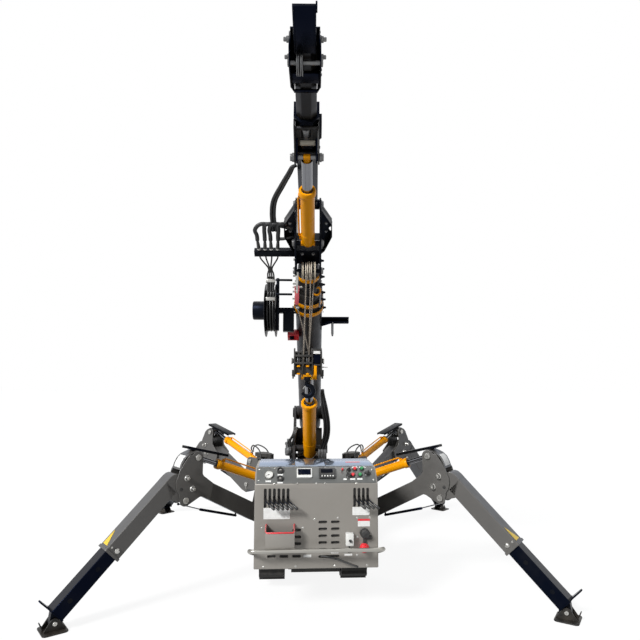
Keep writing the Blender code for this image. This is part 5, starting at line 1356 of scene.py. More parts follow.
def build_leg_details():
    """The pieces of each of the four legs."""
    for label in LEGS:
        place = leg_place(label)
        arm_box(label, place)
        outer_box(label, place)
        slider_box(label, place)
        foot_pad(label, place)
        knuckle_hardware(label, place)
        collar_bolts(label, place)
        foot_pin(label, place)
        leg_stickers(label, place)
        knuckle_cap(label, place)
        leg_ram(label, place)
        gas_strut(label, place)
        leg_guard(label, place)
        leg_hoses(label, place)
        post_details(label, place)


# Superstructure. In the boom's frame X is right, Y runs up along the boom from its pivot and Z is below it.

COLLARS = (1.470, 1.547, 1.624, 1.701, 1.778, 1.855)       # ends of the six collars, along the boom
COLLAR_LONG = 0.028
BOOM_WIDTH = 0.200
BOOM_HEIGHT = 0.230
SECTION_SHRINK = 0.016
SECTION_LAP = 1.300
CONE_SPOTS = (1.455, 1.540, 1.612, 1.690, 1.766, 1.840, 1.915)
BOOM_BODIES = ("boom", "section_2", "section_3", "section_4", "section_5", "section_6", "section_7")
HEAD_PIN = (1.930, 0.165)
SHEAVE_AT = ((-0.035, 0.6), (-0.009, 1.0), (0.017, 1.0), (0.046, 0.6))   # place and share of the full width
SHEAVE_RADIUS = 0.064
LUFF_EYE = (0.900, 0.240)
LUFF_RADIUS = 0.057
LUFF_LONG = 0.580
JIB_FOOT = (2.120, 0.100)
ROPE_RADIUS = 0.0042
ROPE_TURN = 0.0565         # radius of the rope's turn in a sheave's groove
JIB_EYE = (0.690, 0.135)


def loft(bm, rows):
    """A closed skin through rings of points with equal counts, with a cap at each end."""
    rings = [[bm.verts.new(point) for point in row] for row in rows]
    count = len(rings[0])
    for one, two in zip(rings, rings[1:]):
        for k in range(count):
            bm.faces.new((one[k], one[(k + 1) % count], two[(k + 1) % count], two[k]))
    bm.faces.new(rings[0])
    bm.faces.new(rings[-1][::-1])
    made = [v for ring in rings for v in ring]
    bmesh.ops.recalc_face_normals(bm, faces=list({f for v in made for f in v.link_faces}))
    return made


def cylinder_frame(start, end, hinge):
    """A cylinder's frame: X along it, Y along its hinge's axis."""
    start, end = Vector(start), Vector(end)
    ahead = (end - start).normalized()
    side = rightward(hinge)
    side = (side - ahead * side.dot(ahead)).normalized()
    return axes(start, ahead, side, ahead.cross(side))


def welded_cylinder(names, nodes, bodies, place, barrel, reach, radius, rod, half, inside, foot=0.0):
    """Double-acting cylinder: barrel with cap, weld beads and gland with its wiper; chromed rod."""
    bm = bmesh.new()
    cap = [(radius * along - foot, radius * share) for along, share in (
        (-0.42, 0.0), (-0.40, 0.30), (-0.30, 0.60), (-0.10, 0.84), (0.16, 0.97), (0.40, 1.0))]
    weld = [(0.079, radius), (0.081, radius + 0.0015), (0.085, radius + 0.0015), (0.087, radius)]
    gland = [(barrel + along, radius * share) for along, share in (
        (-0.040, 1.0), (-0.036, 1.13), (-0.032, 1.20), (-0.005, 1.20), (0.0, 1.13), (0.0005, 0.86),
        (-0.006, 0.80))]
    turned(bm, cap + weld + gland + [(barrel - 0.006, rod + 0.001)], *ALONG_X, 64, place)
    bar(bm, (0, -half, 0), (0, half, 0), radius * 0.46, 40, None, place)
    piece(names[0], bm, "cylinder_orange", bodies[0], TURNED, 0.0, (nodes[0],))
    bm = bmesh.new()
    turned(bm, ((barrel - 0.0055, rod + 0.0005), (barrel - 0.0055, radius * 0.78),
                (barrel - 0.002, radius * 0.74), (barrel - 0.001, rod + 0.0005)), *ALONG_X, 48,
           place)
    piece(names[0] + "_wiper", bm, "hose_rubber", bodies[0], TURNED)
    bm = bmesh.new()
    turned(bm, ((barrel - inside, 0.0), (barrel - inside, rod), (reach - rod * 0.7, rod)), *ALONG_X, 48,
           place)
    piece(names[1], bm, "hard_chrome", bodies[1], TURNED, 0.0, (nodes[1],))


def boom_spot(x, s, t):
    """A place in the boom's frame, in metres."""
    return boom_place() @ Vector((x, s, t))


def boom_loop(index, grow=0.0, steps=14):
    """A boom section's outline, larger by grow: flat top with rounded corners, half-round bottom."""
    half = (BOOM_WIDTH - index * SECTION_SHRINK) / 2 + grow
    high = (BOOM_HEIGHT - index * SECTION_SHRINK) / 2 + grow
    corner = 0.020
    return (arc((half - corner, high - corner), corner, 0, 90, 4)
            + arc((corner - half, high - corner), corner, 90, 180, 4)
            + arc((0.0, half - high), half, 180, 360, steps))


def boom_tube_place():
    """The boom's frame for a box section: X along it, Y to the right, Z square above it."""
    return boom_place() @ Matrix(((0, 1, 0), (1, 0, 0), (0, 0, -1))).to_4x4()


def build_sections():
    """Base section and the five that slide out of it, each a bent and welded shell with its collar."""
    place = boom_tube_place()
    for index in range(6):
        end = COLLARS[index]
        start = -0.160 if index == 0 else end - SECTION_LAP
        outer, inner = boom_loop(index), boom_loop(index, -0.004)
        rim, rim_edge = boom_loop(index, 0.009), boom_loop(index, 0.0075)
        mouth = boom_loop(index, -0.0075)
        bm = bmesh.new()
        tube_loft(bm, ((start, outer, inner), (end - COLLAR_LONG, outer, inner),
                       (end - COLLAR_LONG + 0.0003, rim_edge, mouth), (end - COLLAR_LONG + 0.002, rim, mouth),
                       (end - 0.002, rim, mouth), (end, rim_edge, mouth)), place)
        node = "boom_base" if index == 0 else "boom_section_%d" % (index + 1)
        flat_faced(piece(node + "_shell", bm, "boom_paint", BOOM_BODIES[index], HOSE, 0.0, (node,)))
    fittings = bmesh.new()
    frame = boom_place()
    for side in (-1, 1):
        side_boss(fittings, ((0.0, 0.064), (0.0225, 0.064), (0.0265, 0.060), (0.0265, 0.0)), side, 0.099,
                  (0, 0), 48, frame)
        low, high = sorted((side * 0.052, side * 0.068))
        ear = Matrix.Translation((low, 0, 0)) @ ACROSS
        s, t = LUFF_EYE
        plate(fittings, [(s - 0.105, 0.086)] + [(s + 0.105, 0.086)] + arc((s, t), 0.045, 30, 150, 12),
              high - low, frame @ ear)
    flat_faced(piece("boom_lugs", fittings, "boom_paint", "boom", HOSE, 0.002))


def build_luff():
    """The cylinder that raises the boom, with its eye and its valve."""
    foot = joint_at("luff_ram_tilt")
    eye = boom_spot(0, *LUFF_EYE)
    place = cylinder_frame(foot, eye, "luff_ram_tilt")
    reach = (eye - foot).length
    welded_cylinder(("luff_body", "luff_piston"), ("luff_barrel", "luff_rod"),
                    ("luff_cylinder", "luff_plunger"), place, LUFF_LONG, reach, LUFF_RADIUS, 0.034, 0.070,
                    0.291, 0.085)
    bm = bmesh.new()
    bar(bm, (reach, -0.062, 0), (reach, 0.062, 0), 0.046, 40, None, place)
    piece("luff_eye", bm, "cylinder_orange", "luff_plunger", TURNED, 0.002)
    bm = bmesh.new()
    box(bm, (0.085, -0.020, LUFF_RADIUS - 0.006), (0.140, 0.020, LUFF_RADIUS + 0.030), place)
    for y in (-0.012, 0.012):
        bar(bm, (0.112, y, LUFF_RADIUS + 0.028), (0.112, y, LUFF_RADIUS + 0.046), 0.008, 6, None, place)
    piece("luff_valve", bm, "plated_steel", "luff_cylinder", CRISP, 0.0012)


def build_collars():
    """Orange bands under the first, second and fifth collars, and the guide cones right of every collar."""
    place = boom_place()
    for index in (0, 1, 4):
        end = COLLARS[index]
        half = (BOOM_WIDTH - index * SECTION_SHRINK) / 2
        sunk = (BOOM_HEIGHT - index * SECTION_SHRINK) / 2 - half
        bm = bmesh.new()
        rows = []
        for s in (end - COLLAR_LONG - 0.003, end + 0.0015):
            ring = arc((0.0, sunk), half + 0.0125, -22, 202, 26)
            ring += arc((0.0, sunk), half + 0.0094, 202, -22, 26)
            rows.append([place @ Vector((x, s, t)) for x, t in ring])
        loft(bm, rows)
        piece("collar_band_%d" % (index + 1), bm, "cylinder_orange", BOOM_BODIES[index], TURNED, 0.0008)
    for index, s in enumerate(CONE_SPOTS):
        bm = bmesh.new()
        x = 0.106 - index * 0.0035
        turned(bm, ((0.0, 0.019), (0.004, 0.019), (0.006, 0.016), (0.020, 0.0105), (0.022, 0.0085),
                    (0.032, 0.0075), (0.036, 0.004), (0.036, 0.0)), (x - 0.012, s, 0.040),
               (x + 0.1, s, 0.040), 28, place)
        piece("guide_cone_%d" % (index + 1), bm, "satin_black", BOOM_BODIES[index], TURNED)
        bm = bmesh.new()
        for side in (1, -1):
            hex_bolt(bm, (side * (x * 0.96 + 0.002), s, 0.085), (side, 0, 0), 0.011, place)
        bar(bm, (-x - 0.018, s, 0.030), (-x + 0.010, s, 0.030), 0.0085, 20, None, place)
        piece("collar_screws_%d" % (index + 1), bm, "plated_steel", BOOM_BODIES[index], ROUND)


def build_head_sheaves():
    """Four nylon sheaves on one pin, the outer two narrower."""
    place = boom_place()
    bm = bmesh.new()
    for x, share in SHEAVE_AT:
        r = SHEAVE_RADIUS
        profile = mirrored(((-0.0098, 0.0), (-0.0098, r - 0.003), (-0.0085, r - 0.0005), (-0.0066, r),
                            (-0.0048, r - 0.003), (-0.0022, r - 0.0075)))
        turned(bm, [(along * share, out) for along, out in profile], (x, *HEAD_PIN), (x + 0.1, *HEAD_PIN), 64,
               place)
    piece("sheave_discs", bm, "sheave_nylon", "sheaves", TURNED, 0.0, ("head_sheaves",))


def build_head_bolts():
    """Turned ends of the head's three cross pins, with their keeper bolts, and two bolts in its top."""
    place = boom_place()
    bm = bmesh.new()
    for side in (-1, 1):
        side_boss(bm, ((0.0, 0.024), (0.006, 0.024), (0.008, 0.020), (0.014, 0.018), (0.015, 0.0)), side,
                  0.088, HEAD_PIN, 32, place)
        for s, t in ((2.200, -0.220), JIB_FOOT):
            side_boss(bm, ((0.0, 0.030), (0.005, 0.030), (0.007, 0.024), (0.016, 0.023), (0.017, 0.0)), side,
                      0.0885, (s, t), 32, place)
            hex_bolt(bm, (side * 0.0885, s - 0.040, t), (side, 0, 0), 0.014, place)
    for x in (-0.038, 0.034):
        hex_bolt(bm, (x, 2.040, 0.1155), (0, 0, 1), 0.017, place)
    piece("head_bolts", bm, "dark_steel", "section_7", ROUND)


def build_head_wings():
    """Black plates that stand out left and right of the head, notched in the middle, with their bolts."""
    place = boom_place()
    wings = bmesh.new()
    for side in (-1, 1):
        outline = [(side * x, s) for x, s in ((0.084, 2.322), (0.094, 2.326), (0.146, 2.236), (0.160, 2.212),
                                              (0.159, 2.176), (0.140, 2.166), (0.139, 2.150), (0.160, 2.124),
                                              (0.160, 2.108), (0.112, 2.003), (0.100, 1.976), (0.084, 1.966))]
        plate(wings, outline if side > 0 else outline[::-1], 0.006,
              place @ Matrix.Translation((0, 0, -0.012)))
        for s in (2.300, 2.010):
            box(wings, (min(side * 0.086, side * 0.104), s - 0.003, -0.035),
                (max(side * 0.086, side * 0.104), s + 0.003, 0.030), place)
    piece("head_wings", wings, "satin_black", "section_7", CRISP, 0.0012)
    bolts = bmesh.new()
    for side in (-1, 1):
        for s in (2.200, 2.135):
            hex_bolt(bolts, (side * 0.120, s, -0.006), (0, 0, 1), 0.016, place)
    piece("wing_bolts", bolts, "dark_steel", "section_7", ROUND)


def build_loop_link():
    """Orange loop with its chromed rod on the right of the fourth section."""
    place = boom_place()
    loop = bmesh.new()
    add_run(loop, [(0.032, 1.690, 0.128), (0.046, 1.676, 0.131), (0.066, 1.672, 0.131), (0.080, 1.690, 0.130),
                   (0.084, 1.720, 0.129), (0.074, 1.742, 0.128), (0.060, 1.738, 0.127)], 0.0065, 7, 4, place)
    piece("loop_link", loop, "cylinder_orange", "section_4", BENT)
    rod = bmesh.new()
    bar(rod, (0.078, 1.540, 0.120), (0.084, 1.690, 0.126), 0.0065, 20, None, place)
    piece("loop_rod", rod, "hard_chrome", "section_4", BENT)


def tapered_block(bm, x, y, stages):
    """An upright block on four sides; each stage is a height and its half-widths along X and Y there."""
    loft(bm, [[(x - w, y - d, z), (x + w, y - d, z), (x + w, y + d, z), (x - w, y + d, z)]
              for z, w, d in stages])


def build_wedge_socket():
    """Red wedge socket on its pin, hanging from the head's left, with the rope's end clamped below it."""
    x, y = -0.135, -0.777
    red = bmesh.new()
    for side in (-1, 1):
        rows = []
        for z, out, half in ((2.142, 0.0125, 0.007), (2.118, 0.0130, 0.010), (2.092, 0.0115, 0.014),
                             (2.070, 0.0095, 0.016)):
            near, far = x + side * (out - 0.0035), x + side * (out + 0.0035)
            rows.append([(near, y - half, z), (far, y - half, z), (far, y + half, z), (near, y + half, z)])
        loft(red, rows)
    tapered_block(red, x, y, ((2.090, 0.0135, 0.015), (2.068, 0.0150, 0.017), (2.022, 0.0125, 0.014),
                              (2.013, 0.0105, 0.012)))
    piece("wedge_socket", red, "socket_red", "section_7", TURNED, 0.0015)
    steel = bmesh.new()
    tapered_block(steel, x, y, ((2.245, 0.011, 0.008), (2.200, 0.0095, 0.008), (2.085, 0.0045, 0.006)))
    bar(steel, (x - 0.030, y, 2.135), (x + 0.030, y, 2.135), 0.0075, 24)
    hex_bolt(steel, (x + 0.028, y, 2.135), (1, 0, 0), 0.016)
    turned(steel, ((0.0, 0.004), (0.006, 0.012), (0.014, 0.013), (0.020, 0.006), (0.020, 0.0)),
           (x + 0.004, y, 1.985), (x + 0.004, y, 2.1), 24)
    piece("socket_wedge", steel, "plated_steel", "section_7", TURNED, 0.0008)
    rope = bmesh.new()
    add_run(rope, [(x + 0.002, y, 2.012), (x + 0.006, y, 1.985), (x + 0.030, y, 1.900), (x + 0.062, y, 1.780),
                   (x + 0.078, y, 1.700)], ROPE_RADIUS, 6, 4)
    piece("rope_end", rope, "wire_rope", "hook_tackle", HOSE)


def build_boom_fittings():
    """Red overload switch with its window, and the black arm on the right with its hanging switch."""
    place = boom_place()
    red = bmesh.new()
    box(red, (-0.166, 1.165, 0.060), (-0.078, 1.235, 0.118), place)
    piece("red_switch", red, "red_plastic", "boom", CRISP, 0.004)
    dark = bmesh.new()
    box(dark, (-0.150, 1.180, 0.1185), (-0.115, 1.220, 0.1215), place)
    piece("switch_window", dark, "gloss_black", "boom", CRISP, 0.0008)
    arm = bmesh.new()
    box(arm, (0.096, 1.228, -0.010), (0.310, 1.302, -0.004), place)
    box(arm, (0.096, 1.266, -0.006), (0.310, 1.274, 0.022), place)
    box(arm, (0.094, 1.215, -0.035), (0.100, 1.320, 0.050), place)
    plate(arm, [(0.0, 0.0), (0.100, 0.0), (0.0, 0.040)], 0.006,
          place @ Matrix.Translation((0.098, 1.272, 0.020)) @ Matrix.Rotation(math.radians(90), 4, "X"))
    piece("side_arm", arm, "gloss_black", "boom", CRISP, 0.0012)
    hang = place @ Vector((0.182, 1.272, 0.022))
    rod = bmesh.new()
    turned(rod, ((0.0, 0.0075), (0.010, 0.0095), (0.090, 0.0095), (0.094, 0.008), (0.100, 0.0075),
                 (0.106, 0.006), (0.110, 0.0)), hang, hang + Vector((0, 0, -0.11)), 24)
    piece("hanging_switch", rod, "dark_steel", "boom", ROUND)


def reel_place():
    """The reel's frame: X along its axle to the right, the origin at its middle on the axle."""
    axle = rightward("reel_spin")
    up = Vector((0, 0, 1))
    return axes(joint_at("reel_spin"), axle, up.cross(axle), up)


def build_reel():
    """Hose reel: two pressed flanges, hub, wound twin hose, bolts and the motor drum on its left."""
    place = reel_place()
    low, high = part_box("hose_reel")
    left = low.x - joint_at("reel_spin").x + 0.006
    right = high.x - joint_at("reel_spin").x - 0.008
    black = bmesh.new()
    for x in (left, right):
        turned(black, ((-0.0025, 0.040), (-0.0025, 0.150), (-0.0050, 0.158), (-0.0050, 0.196),
                       (-0.0025, 0.200), (0.0005, 0.197), (0.0005, 0.160), (0.0025, 0.150), (0.0025, 0.040)),
               (x, 0, 0), (x + 1, 0, 0), 72, place)
    bar(black, (left, 0, 0), (right, 0, 0), 0.090, 64, None, place)
    piece("reel_drum", black, "satin_black", "reel", CRISP, 0.0, ("hose_reel",))
    hoses = bmesh.new()
    pitch = (right - left) / 3.4
    for layer in range(4):
        for k in range(3):
            x = left + pitch * (0.7 + k)
            turned(hoses, ring_profile(0.0092, 0.100 + layer * 0.0165, 0.0085, 30), (x, 0, 0), (x + 1, 0, 0),
                   60, place)
    piece("wound_hose", hoses, "hose_rubber", "reel", ROUND)
    bolts = bmesh.new()
    for k in range(6):
        angle = math.radians(60 * k + 20)
        hex_bolt(bolts, (left - 0.003, 0.120 * math.cos(angle), 0.120 * math.sin(angle)), (-1, 0, 0), 0.013,
                 place)
    piece("reel_bolts", bolts, "plated_steel", "reel", ROUND)
    motor = bmesh.new()
    turned(motor, ((0.0, 0.066), (0.004, 0.070), (0.086, 0.070), (0.092, 0.066), (0.094, 0.0)),
           (left - 0.008, 0, 0), (left - 1, 0, 0), 64, place)
    piece("reel_motor", motor, "satin_black", "boom", TURNED)


def build_manifold():
    """Bulkhead bar left of the head: four hose tails with bend guards, and thin hoses down to the reel."""
    place = boom_place()
    bar_bm = bmesh.new()
    box(bar_bm, (-0.372, 1.934, -0.018), (-0.088, 1.980, 0.022), place)
    piece("bulkhead_bar", bar_bm, "satin_black", "section_7", CRISP, 0.0015)
    tails = bmesh.new()
    nuts = bmesh.new()
    hoses = bmesh.new()
    thin = bmesh.new()
    target = Vector((-0.267, 1.740, 0.055))
    for k, x in enumerate((-0.338, -0.296, -0.254, -0.210)):
        lean = (-0.006, 0.004, 0.0, 0.008)[k]
        turned(nuts, ((0.0, 0.014), (0.012, 0.014), (0.013, 0.012), (0.022, 0.012)), (x, 1.990, 0.010),
               (x + lean * 0.2, 2.1, 0.010), 6, place)
        turned(tails, ((0.010, 0.0), (0.010, 0.0125), (0.030, 0.0125), (0.085, 0.0085), (0.088, 0.0)),
               (x, 1.990, 0.010), (x + lean, 2.090, 0.012), 24, place)
        add_run(hoses, [(x + lean * 0.8, 2.070, 0.012), (x + lean, 2.110, 0.010),
                        (x + lean * 2 - 0.004, 2.150, 0.004), (x + 0.012, 2.185, -0.004),
                        (x + 0.060, 2.190, -0.008), (-0.150, 2.165, -0.012), (-0.105, 2.150, -0.012)], 0.0140,
                7, 3, place)
        add_run(thin, [(x, 1.955, 0.006), (x + (target.x - x) * 0.1, 1.910, 0.014),
                       (x + (target.x - x) * 0.8, 1.840, 0.034), (target.x + (k - 1.5) * 0.014, 1.790, 0.046),
                       (target.x + (k - 1.5) * 0.014, 1.700, 0.058)], 0.0055, 7, 3, place)
    piece("hose_nuts", nuts, "plated_steel", "section_7", ROUND)
    piece("bend_guards", tails, "black_plastic", "section_7", ROUND)
    piece("bundle_hoses", hoses, "braided_hose", "section_7", HOSE)
    piece("thin_hoses", thin, "hose_rubber", "section_7", HOSE)
    big = bmesh.new()
    for shift in (0.0, 0.020):
        add_run(big, [(-0.236 + shift, 2.130, -0.012), (-0.238 + shift, 2.170, -0.014),
                      (-0.240 + shift, 2.270, -0.016), (-0.224 + shift, 2.370, -0.020),
                      (-0.172 + shift, 2.470, -0.030), (-0.124 + shift * 0.8, 2.545, -0.050),
                      (-0.098 + shift * 0.5, 2.585, -0.060), (-0.070, 2.590, -0.070)], 0.0105, 8, 3, place)
    add_run(big, [(-0.190, 2.085, 0.016), (-0.165, 2.090, 0.020), (-0.130, 2.098, 0.018),
                  (-0.100, 2.100, 0.010)], 0.011, 6, 3, place)
    piece("jib_hoses", big, "braided_hose", "section_7", HOSE)


HOSES_X = -0.319           # where the pack of hoses goes down to the reel


def build_reel_frame():
    """The pack of hoses above the reel with its clamps, and the bracket that holds the reel to the boom."""
    centre = joint_at("reel_spin")
    place = boom_place()
    steel = bmesh.new()
    pack = bmesh.new()
    top = place @ Vector((-0.285, 1.760, 0.050))
    for z, half in ((top.z - 0.020, 0.033), (top.z - 0.150, 0.032)):
        box(steel, (HOSES_X - half, top.y - 0.014, z - 0.012), (HOSES_X + half, top.y + 0.014, z + 0.012))
    for k in (-1, 0, 1):
        bar(pack, (HOSES_X + k * 0.018, top.y, top.z + 0.010), (HOSES_X + k * 0.018, top.y, centre.z + 0.105),
            0.0092, 20)
    piece("hose_clamps", steel, "plated_steel", "boom", CRISP, 0.002)
    piece("reel_hoses", pack, "hose_rubber", "boom", HOSE)
    frame_bm = bmesh.new()
    box(frame_bm, (-0.278, centre.y - 0.030, centre.z - 0.020), (-0.112, centre.y + 0.030, centre.z + 0.020))
    box(frame_bm, (-0.284, centre.y - 0.045, centre.z - 0.150), (-0.262, centre.y + 0.045, top.z + 0.040))
    box(frame_bm, (-0.232, centre.y - 0.060, centre.z - 0.160), (-0.150, centre.y + 0.050, centre.z - 0.015))
    box(frame_bm, (-0.284, top.y - 0.008, top.z - 0.020), (-0.165, top.y + 0.008, top.z - 0.006))
    box(frame_bm, (-0.284, top.y - 0.008, top.z - 0.122), (-0.165, top.y + 0.008, top.z - 0.108))
    piece("reel_bracket", frame_bm, "satin_black", "boom", CRISP, 0.002)


def build_superstructure_details():
    """Boom, head, reel and the hoses between them."""
    build_sections()
    build_luff()
    build_collars()
    build_head_sheaves()
    build_head_bolts()
    build_head_wings()
    build_loop_link()
    build_wedge_socket()
    build_boom_fittings()
    build_reel()
    build_manifold()
    build_reel_frame()


# Jib, hook block and the lower boom. In the jib's frame X is right, Y runs along it and Z is below it.

JIB_HALF = 0.0625
JIB_INNER_HALF = JIB_HALF - 0.0075
JIB_SHEAVE_PIN = (1.300, 0.068)
JIB_RAM_RADIUS = 0.044
JIB_RAM_LONG = 0.440


def build_jib_ram():
    """The cylinder that raises the jib, with its eye and its return pipe."""
    foot = boom_spot(0, *JIB_FOOT)
    eye = jib_place() @ Vector((0, *JIB_EYE))
    place = cylinder_frame(foot, eye, "jib_ram_tilt")
    reach = (eye - foot).length
    welded_cylinder(("jib_ram_body", "jib_ram_piston"), ("jib_barrel", "jib_rod"),
                    ("jib_cylinder", "jib_plunger"), place, JIB_RAM_LONG, reach, JIB_RAM_RADIUS, 0.031, 0.046,
                    0.257)
    bm = bmesh.new()
    turned(bm, mirrored(((-0.020, 0.0), (-0.020, 0.016), (-0.017, 0.0195))), (reach, 0, 0), (reach, 1, 0), 36,
           place)
    bar(bm, (reach - 0.050, 0, 0), (reach - 0.010, 0, 0), 0.024, 32, 0.019, place)
    piece("jib_ram_eye", bm, "cylinder_orange", "jib_plunger", TURNED)
    pipe = bmesh.new()
    r = JIB_RAM_RADIUS
    add_run(pipe, [(0.060, -r - 0.004, 0), (0.070, -r - 0.011, 0), (0.100, -r - 0.013, 0),
                   (0.330, -r - 0.013, 0), (0.375, -r - 0.012, 0), (0.390, -r - 0.002, 0)], 0.006, 5, 3,
            place)
    for along in (0.060, 0.392):
        box(pipe, (along - 0.014, -r - 0.012, -0.012), (along + 0.014, -r + 0.006, 0.012), place)
    piece("jib_ram_pipe", pipe, "cylinder_orange", "jib_cylinder", BENT)


def build_jib_eye_pin():
    """Turned ends of the pin that takes the jib cylinder's rod, with their keeper bolts."""
    place = jib_place()
    steel = bmesh.new()
    for side in (-1, 1):
        side_boss(steel, ((0.0, 0.026), (0.010, 0.026), (0.012, 0.022), (0.022, 0.021), (0.023, 0.0)), side,
                  JIB_HALF + 0.010, JIB_EYE, 32, place)
        hex_bolt(steel, (side * (JIB_HALF + 0.002), 0.672, 0.050), (side, 0, 0), 0.020, place)
        side_boss(steel, ((0.0, 0.0165), (0.032, 0.0165)), side, 0.0215, JIB_EYE, 32, place)
    piece("jib_eye_pin", steel, "dark_steel", "jib", ROUND)


def build_jib_window():
    """Cheek plates round the jib's open window, with the cylinder and the roller that show in it, and a black
    sheet inside it: painted shade.
    """
    place = jib_place()
    half = JIB_HALF
    frame_bm = bmesh.new()
    for side in (-1, 1):
        rows = []
        for a, deep in ((0.610, 0.086), (0.655, 0.158), (0.672, 0.172), (0.712, 0.172), (0.760, 0.120),
                        (0.860, 0.084), (0.880, 0.070)):
            x = side * (half + 0.0005)
            out = side * (half + 0.0085)
            corners = ((x, a, 0.030), (out, a, 0.030), (out, a, deep), (x, a, deep))
            rows.append([place @ Vector(corner) for corner in corners])
        loft(frame_bm, rows)
    box(frame_bm, (-half, 0.620, 0.0630), (half, 0.655, 0.0760), place)
    box(frame_bm, (-half, 0.846, 0.0630), (half, 0.864, 0.0760), place)
    piece("jib_window_frame", frame_bm, "boom_paint", "jib", CRISP, 0.0012)
    # A black rubber sheet across the window: painted shade inside the jib.
    inside = bmesh.new()
    box(inside, (-half + 0.001, 0.700, 0.0625), (half - 0.001, 0.850, 0.0640), place)
    piece("jib_window", inside, "hose_rubber", "jib", CRISP)
    inner = bmesh.new()
    bar(inner, (-0.004, 0.775, 0.060), (-0.004, 0.846, 0.060), 0.026, 36, None, place)
    piece("jib_inner_cylinder", inner, "dark_steel", "jib", ROUND, 0.002)
    roller = bmesh.new()
    turned(roller, mirrored(((-0.044, 0.0), (-0.044, 0.015), (-0.040, 0.019))), (0.004, 0.728, 0.062),
           (1, 0.728, 0.062), 32, place)
    piece("jib_roller", roller, "sheave_nylon", "jib", ROUND)
    side_box = bmesh.new()
    box(side_box, (half + 0.0005, 0.740, -0.020), (half + 0.020, 0.864, 0.045), place)
    add_run(side_box, [(half + 0.012, 0.742, 0.010), (half + 0.014, 0.725, 0.012),
                       (half + 0.010, 0.700, 0.014)], 0.006, 5, 3, place)
    piece("jib_side_box", side_box, "satin_black", "jib", CRISP, 0.003)


def build_jib_head_bracket():
    """Two bent plates that widen past the inner box and carry the sheave, tied by cross plates."""
    place = jib_place()
    wide = JIB_INNER_HALF
    head = bmesh.new()
    for side in (-1, 1):
        rows = []
        for a, x, low, high in ((1.100, wide + 0.001, -0.030, 0.052), (1.130, wide + 0.009, -0.040, 0.062),
                                (1.150, wide + 0.014, -0.045, 0.072), (1.240, wide + 0.014, -0.045, 0.100),
                                (1.300, wide + 0.014, -0.045, 0.118), (1.350, wide + 0.014, -0.045, 0.112),
                                (1.400, wide + 0.013, -0.020, 0.070), (1.425, wide + 0.008, 0.030, 0.055)):
            near, far = side * x, side * (x + 0.006)
            corners = ((near, a, low), (far, a, low), (far, a, high), (near, a, high))
            rows.append([place @ Vector(corner) for corner in corners])
        loft(head, rows)
    box(head, (-wide - 0.014, 1.165, 0.040), (wide + 0.014, 1.228, 0.062), place)
    box(head, (-wide - 0.004, 1.100, 0.050), (wide + 0.004, 1.118, 0.060), place)
    box(head, (-wide - 0.010, 1.115, -0.045), (wide + 0.010, 1.160, -0.036), place)
    box(head, (-wide - 0.014, 1.150, -0.045), (wide + 0.014, 1.400, -0.036), place)
    piece("jib_head_bracket", head, "gloss_black", "jib_slider", CRISP, 0.0012)


def build_jib_boxes():
    """The jib's sliding inner box with its chamfered corners, and the tapered box at its tip."""
    place = jib_place()
    wide = JIB_INNER_HALF
    inner_box = bmesh.new()
    section = ((-wide, -0.036), (wide, -0.036), (wide, 0.016), (0.026, 0.045), (-0.026, 0.045),
               (-wide, 0.016))
    loft(inner_box, [[place @ Vector((x, a, t)) for x, t in section] for a in (0.290, 1.350)])
    piece("jib_inner_box", inner_box, "boom_paint", "jib_slider", CRISP, 0.003, ("jib_extension",))
    tip = bmesh.new()
    edge = wide - 0.004
    rows = []
    for a, top in ((1.345, -0.036), (1.440, -0.030), (1.591, 0.044)):
        corners = ((-edge, top), (edge, top), (edge, 0.060), (-edge, 0.060))
        rows.append([place @ Vector((x, a, t)) for x, t in corners])
    loft(tip, rows)
    box(tip, (wide - 0.007, 1.560, 0.040), (wide + 0.001, 1.602, 0.062), place)
    for side in (-1, 1):
        box(tip, (side * (wide - 0.010) - 0.004, 1.345, 0.056), (side * (wide - 0.010) + 0.004, 1.588, 0.063),
            place)
    piece("jib_tip_box", tip, "gloss_black", "jib_slider", CRISP, 0.0015)


def build_jib_sheave():
    """The jib's twin sheave on its pin, and the turned pins and bolts in the bracket's sides."""
    place = jib_place()
    wide = JIB_INNER_HALF
    sheave = bmesh.new()
    for x in (-0.0340, -0.0170):
        turned(sheave, mirrored(((-0.0080, 0.0), (-0.0080, 0.056), (-0.0055, 0.060), (-0.0025, 0.058),
                                 (-0.0012, 0.050))), (x, *JIB_SHEAVE_PIN), (1, *JIB_SHEAVE_PIN), 56, place)
    piece("jib_sheave", sheave, "dark_steel", "jib_slider", TURNED)
    pins = bmesh.new()
    bar(pins, (-wide - 0.018, *JIB_SHEAVE_PIN), (wide + 0.018, *JIB_SHEAVE_PIN), 0.0115, 28, None, place)
    for side in (-1, 1):
        side_boss(pins, ((0.0, 0.019), (0.006, 0.019), (0.008, 0.015), (0.009, 0.0)), side, wide + 0.020,
                  JIB_SHEAVE_PIN, 28, place)
        for a in (1.287, 1.388):
            side_boss(pins, ((0.0, 0.015), (0.010, 0.015), (0.012, 0.010), (0.022, 0.010), (0.024, 0.008),
                             (0.024, 0.0)), side, wide + 0.019, (a, 0.020), 28, place)
        for a in (1.180, 1.212):
            hex_bolt(pins, (side * (wide + 0.016), a, 0.020), (side, 0, 0), 0.015, place)
    piece("jib_head_pins", pins, "dark_steel", "jib_slider", ROUND)


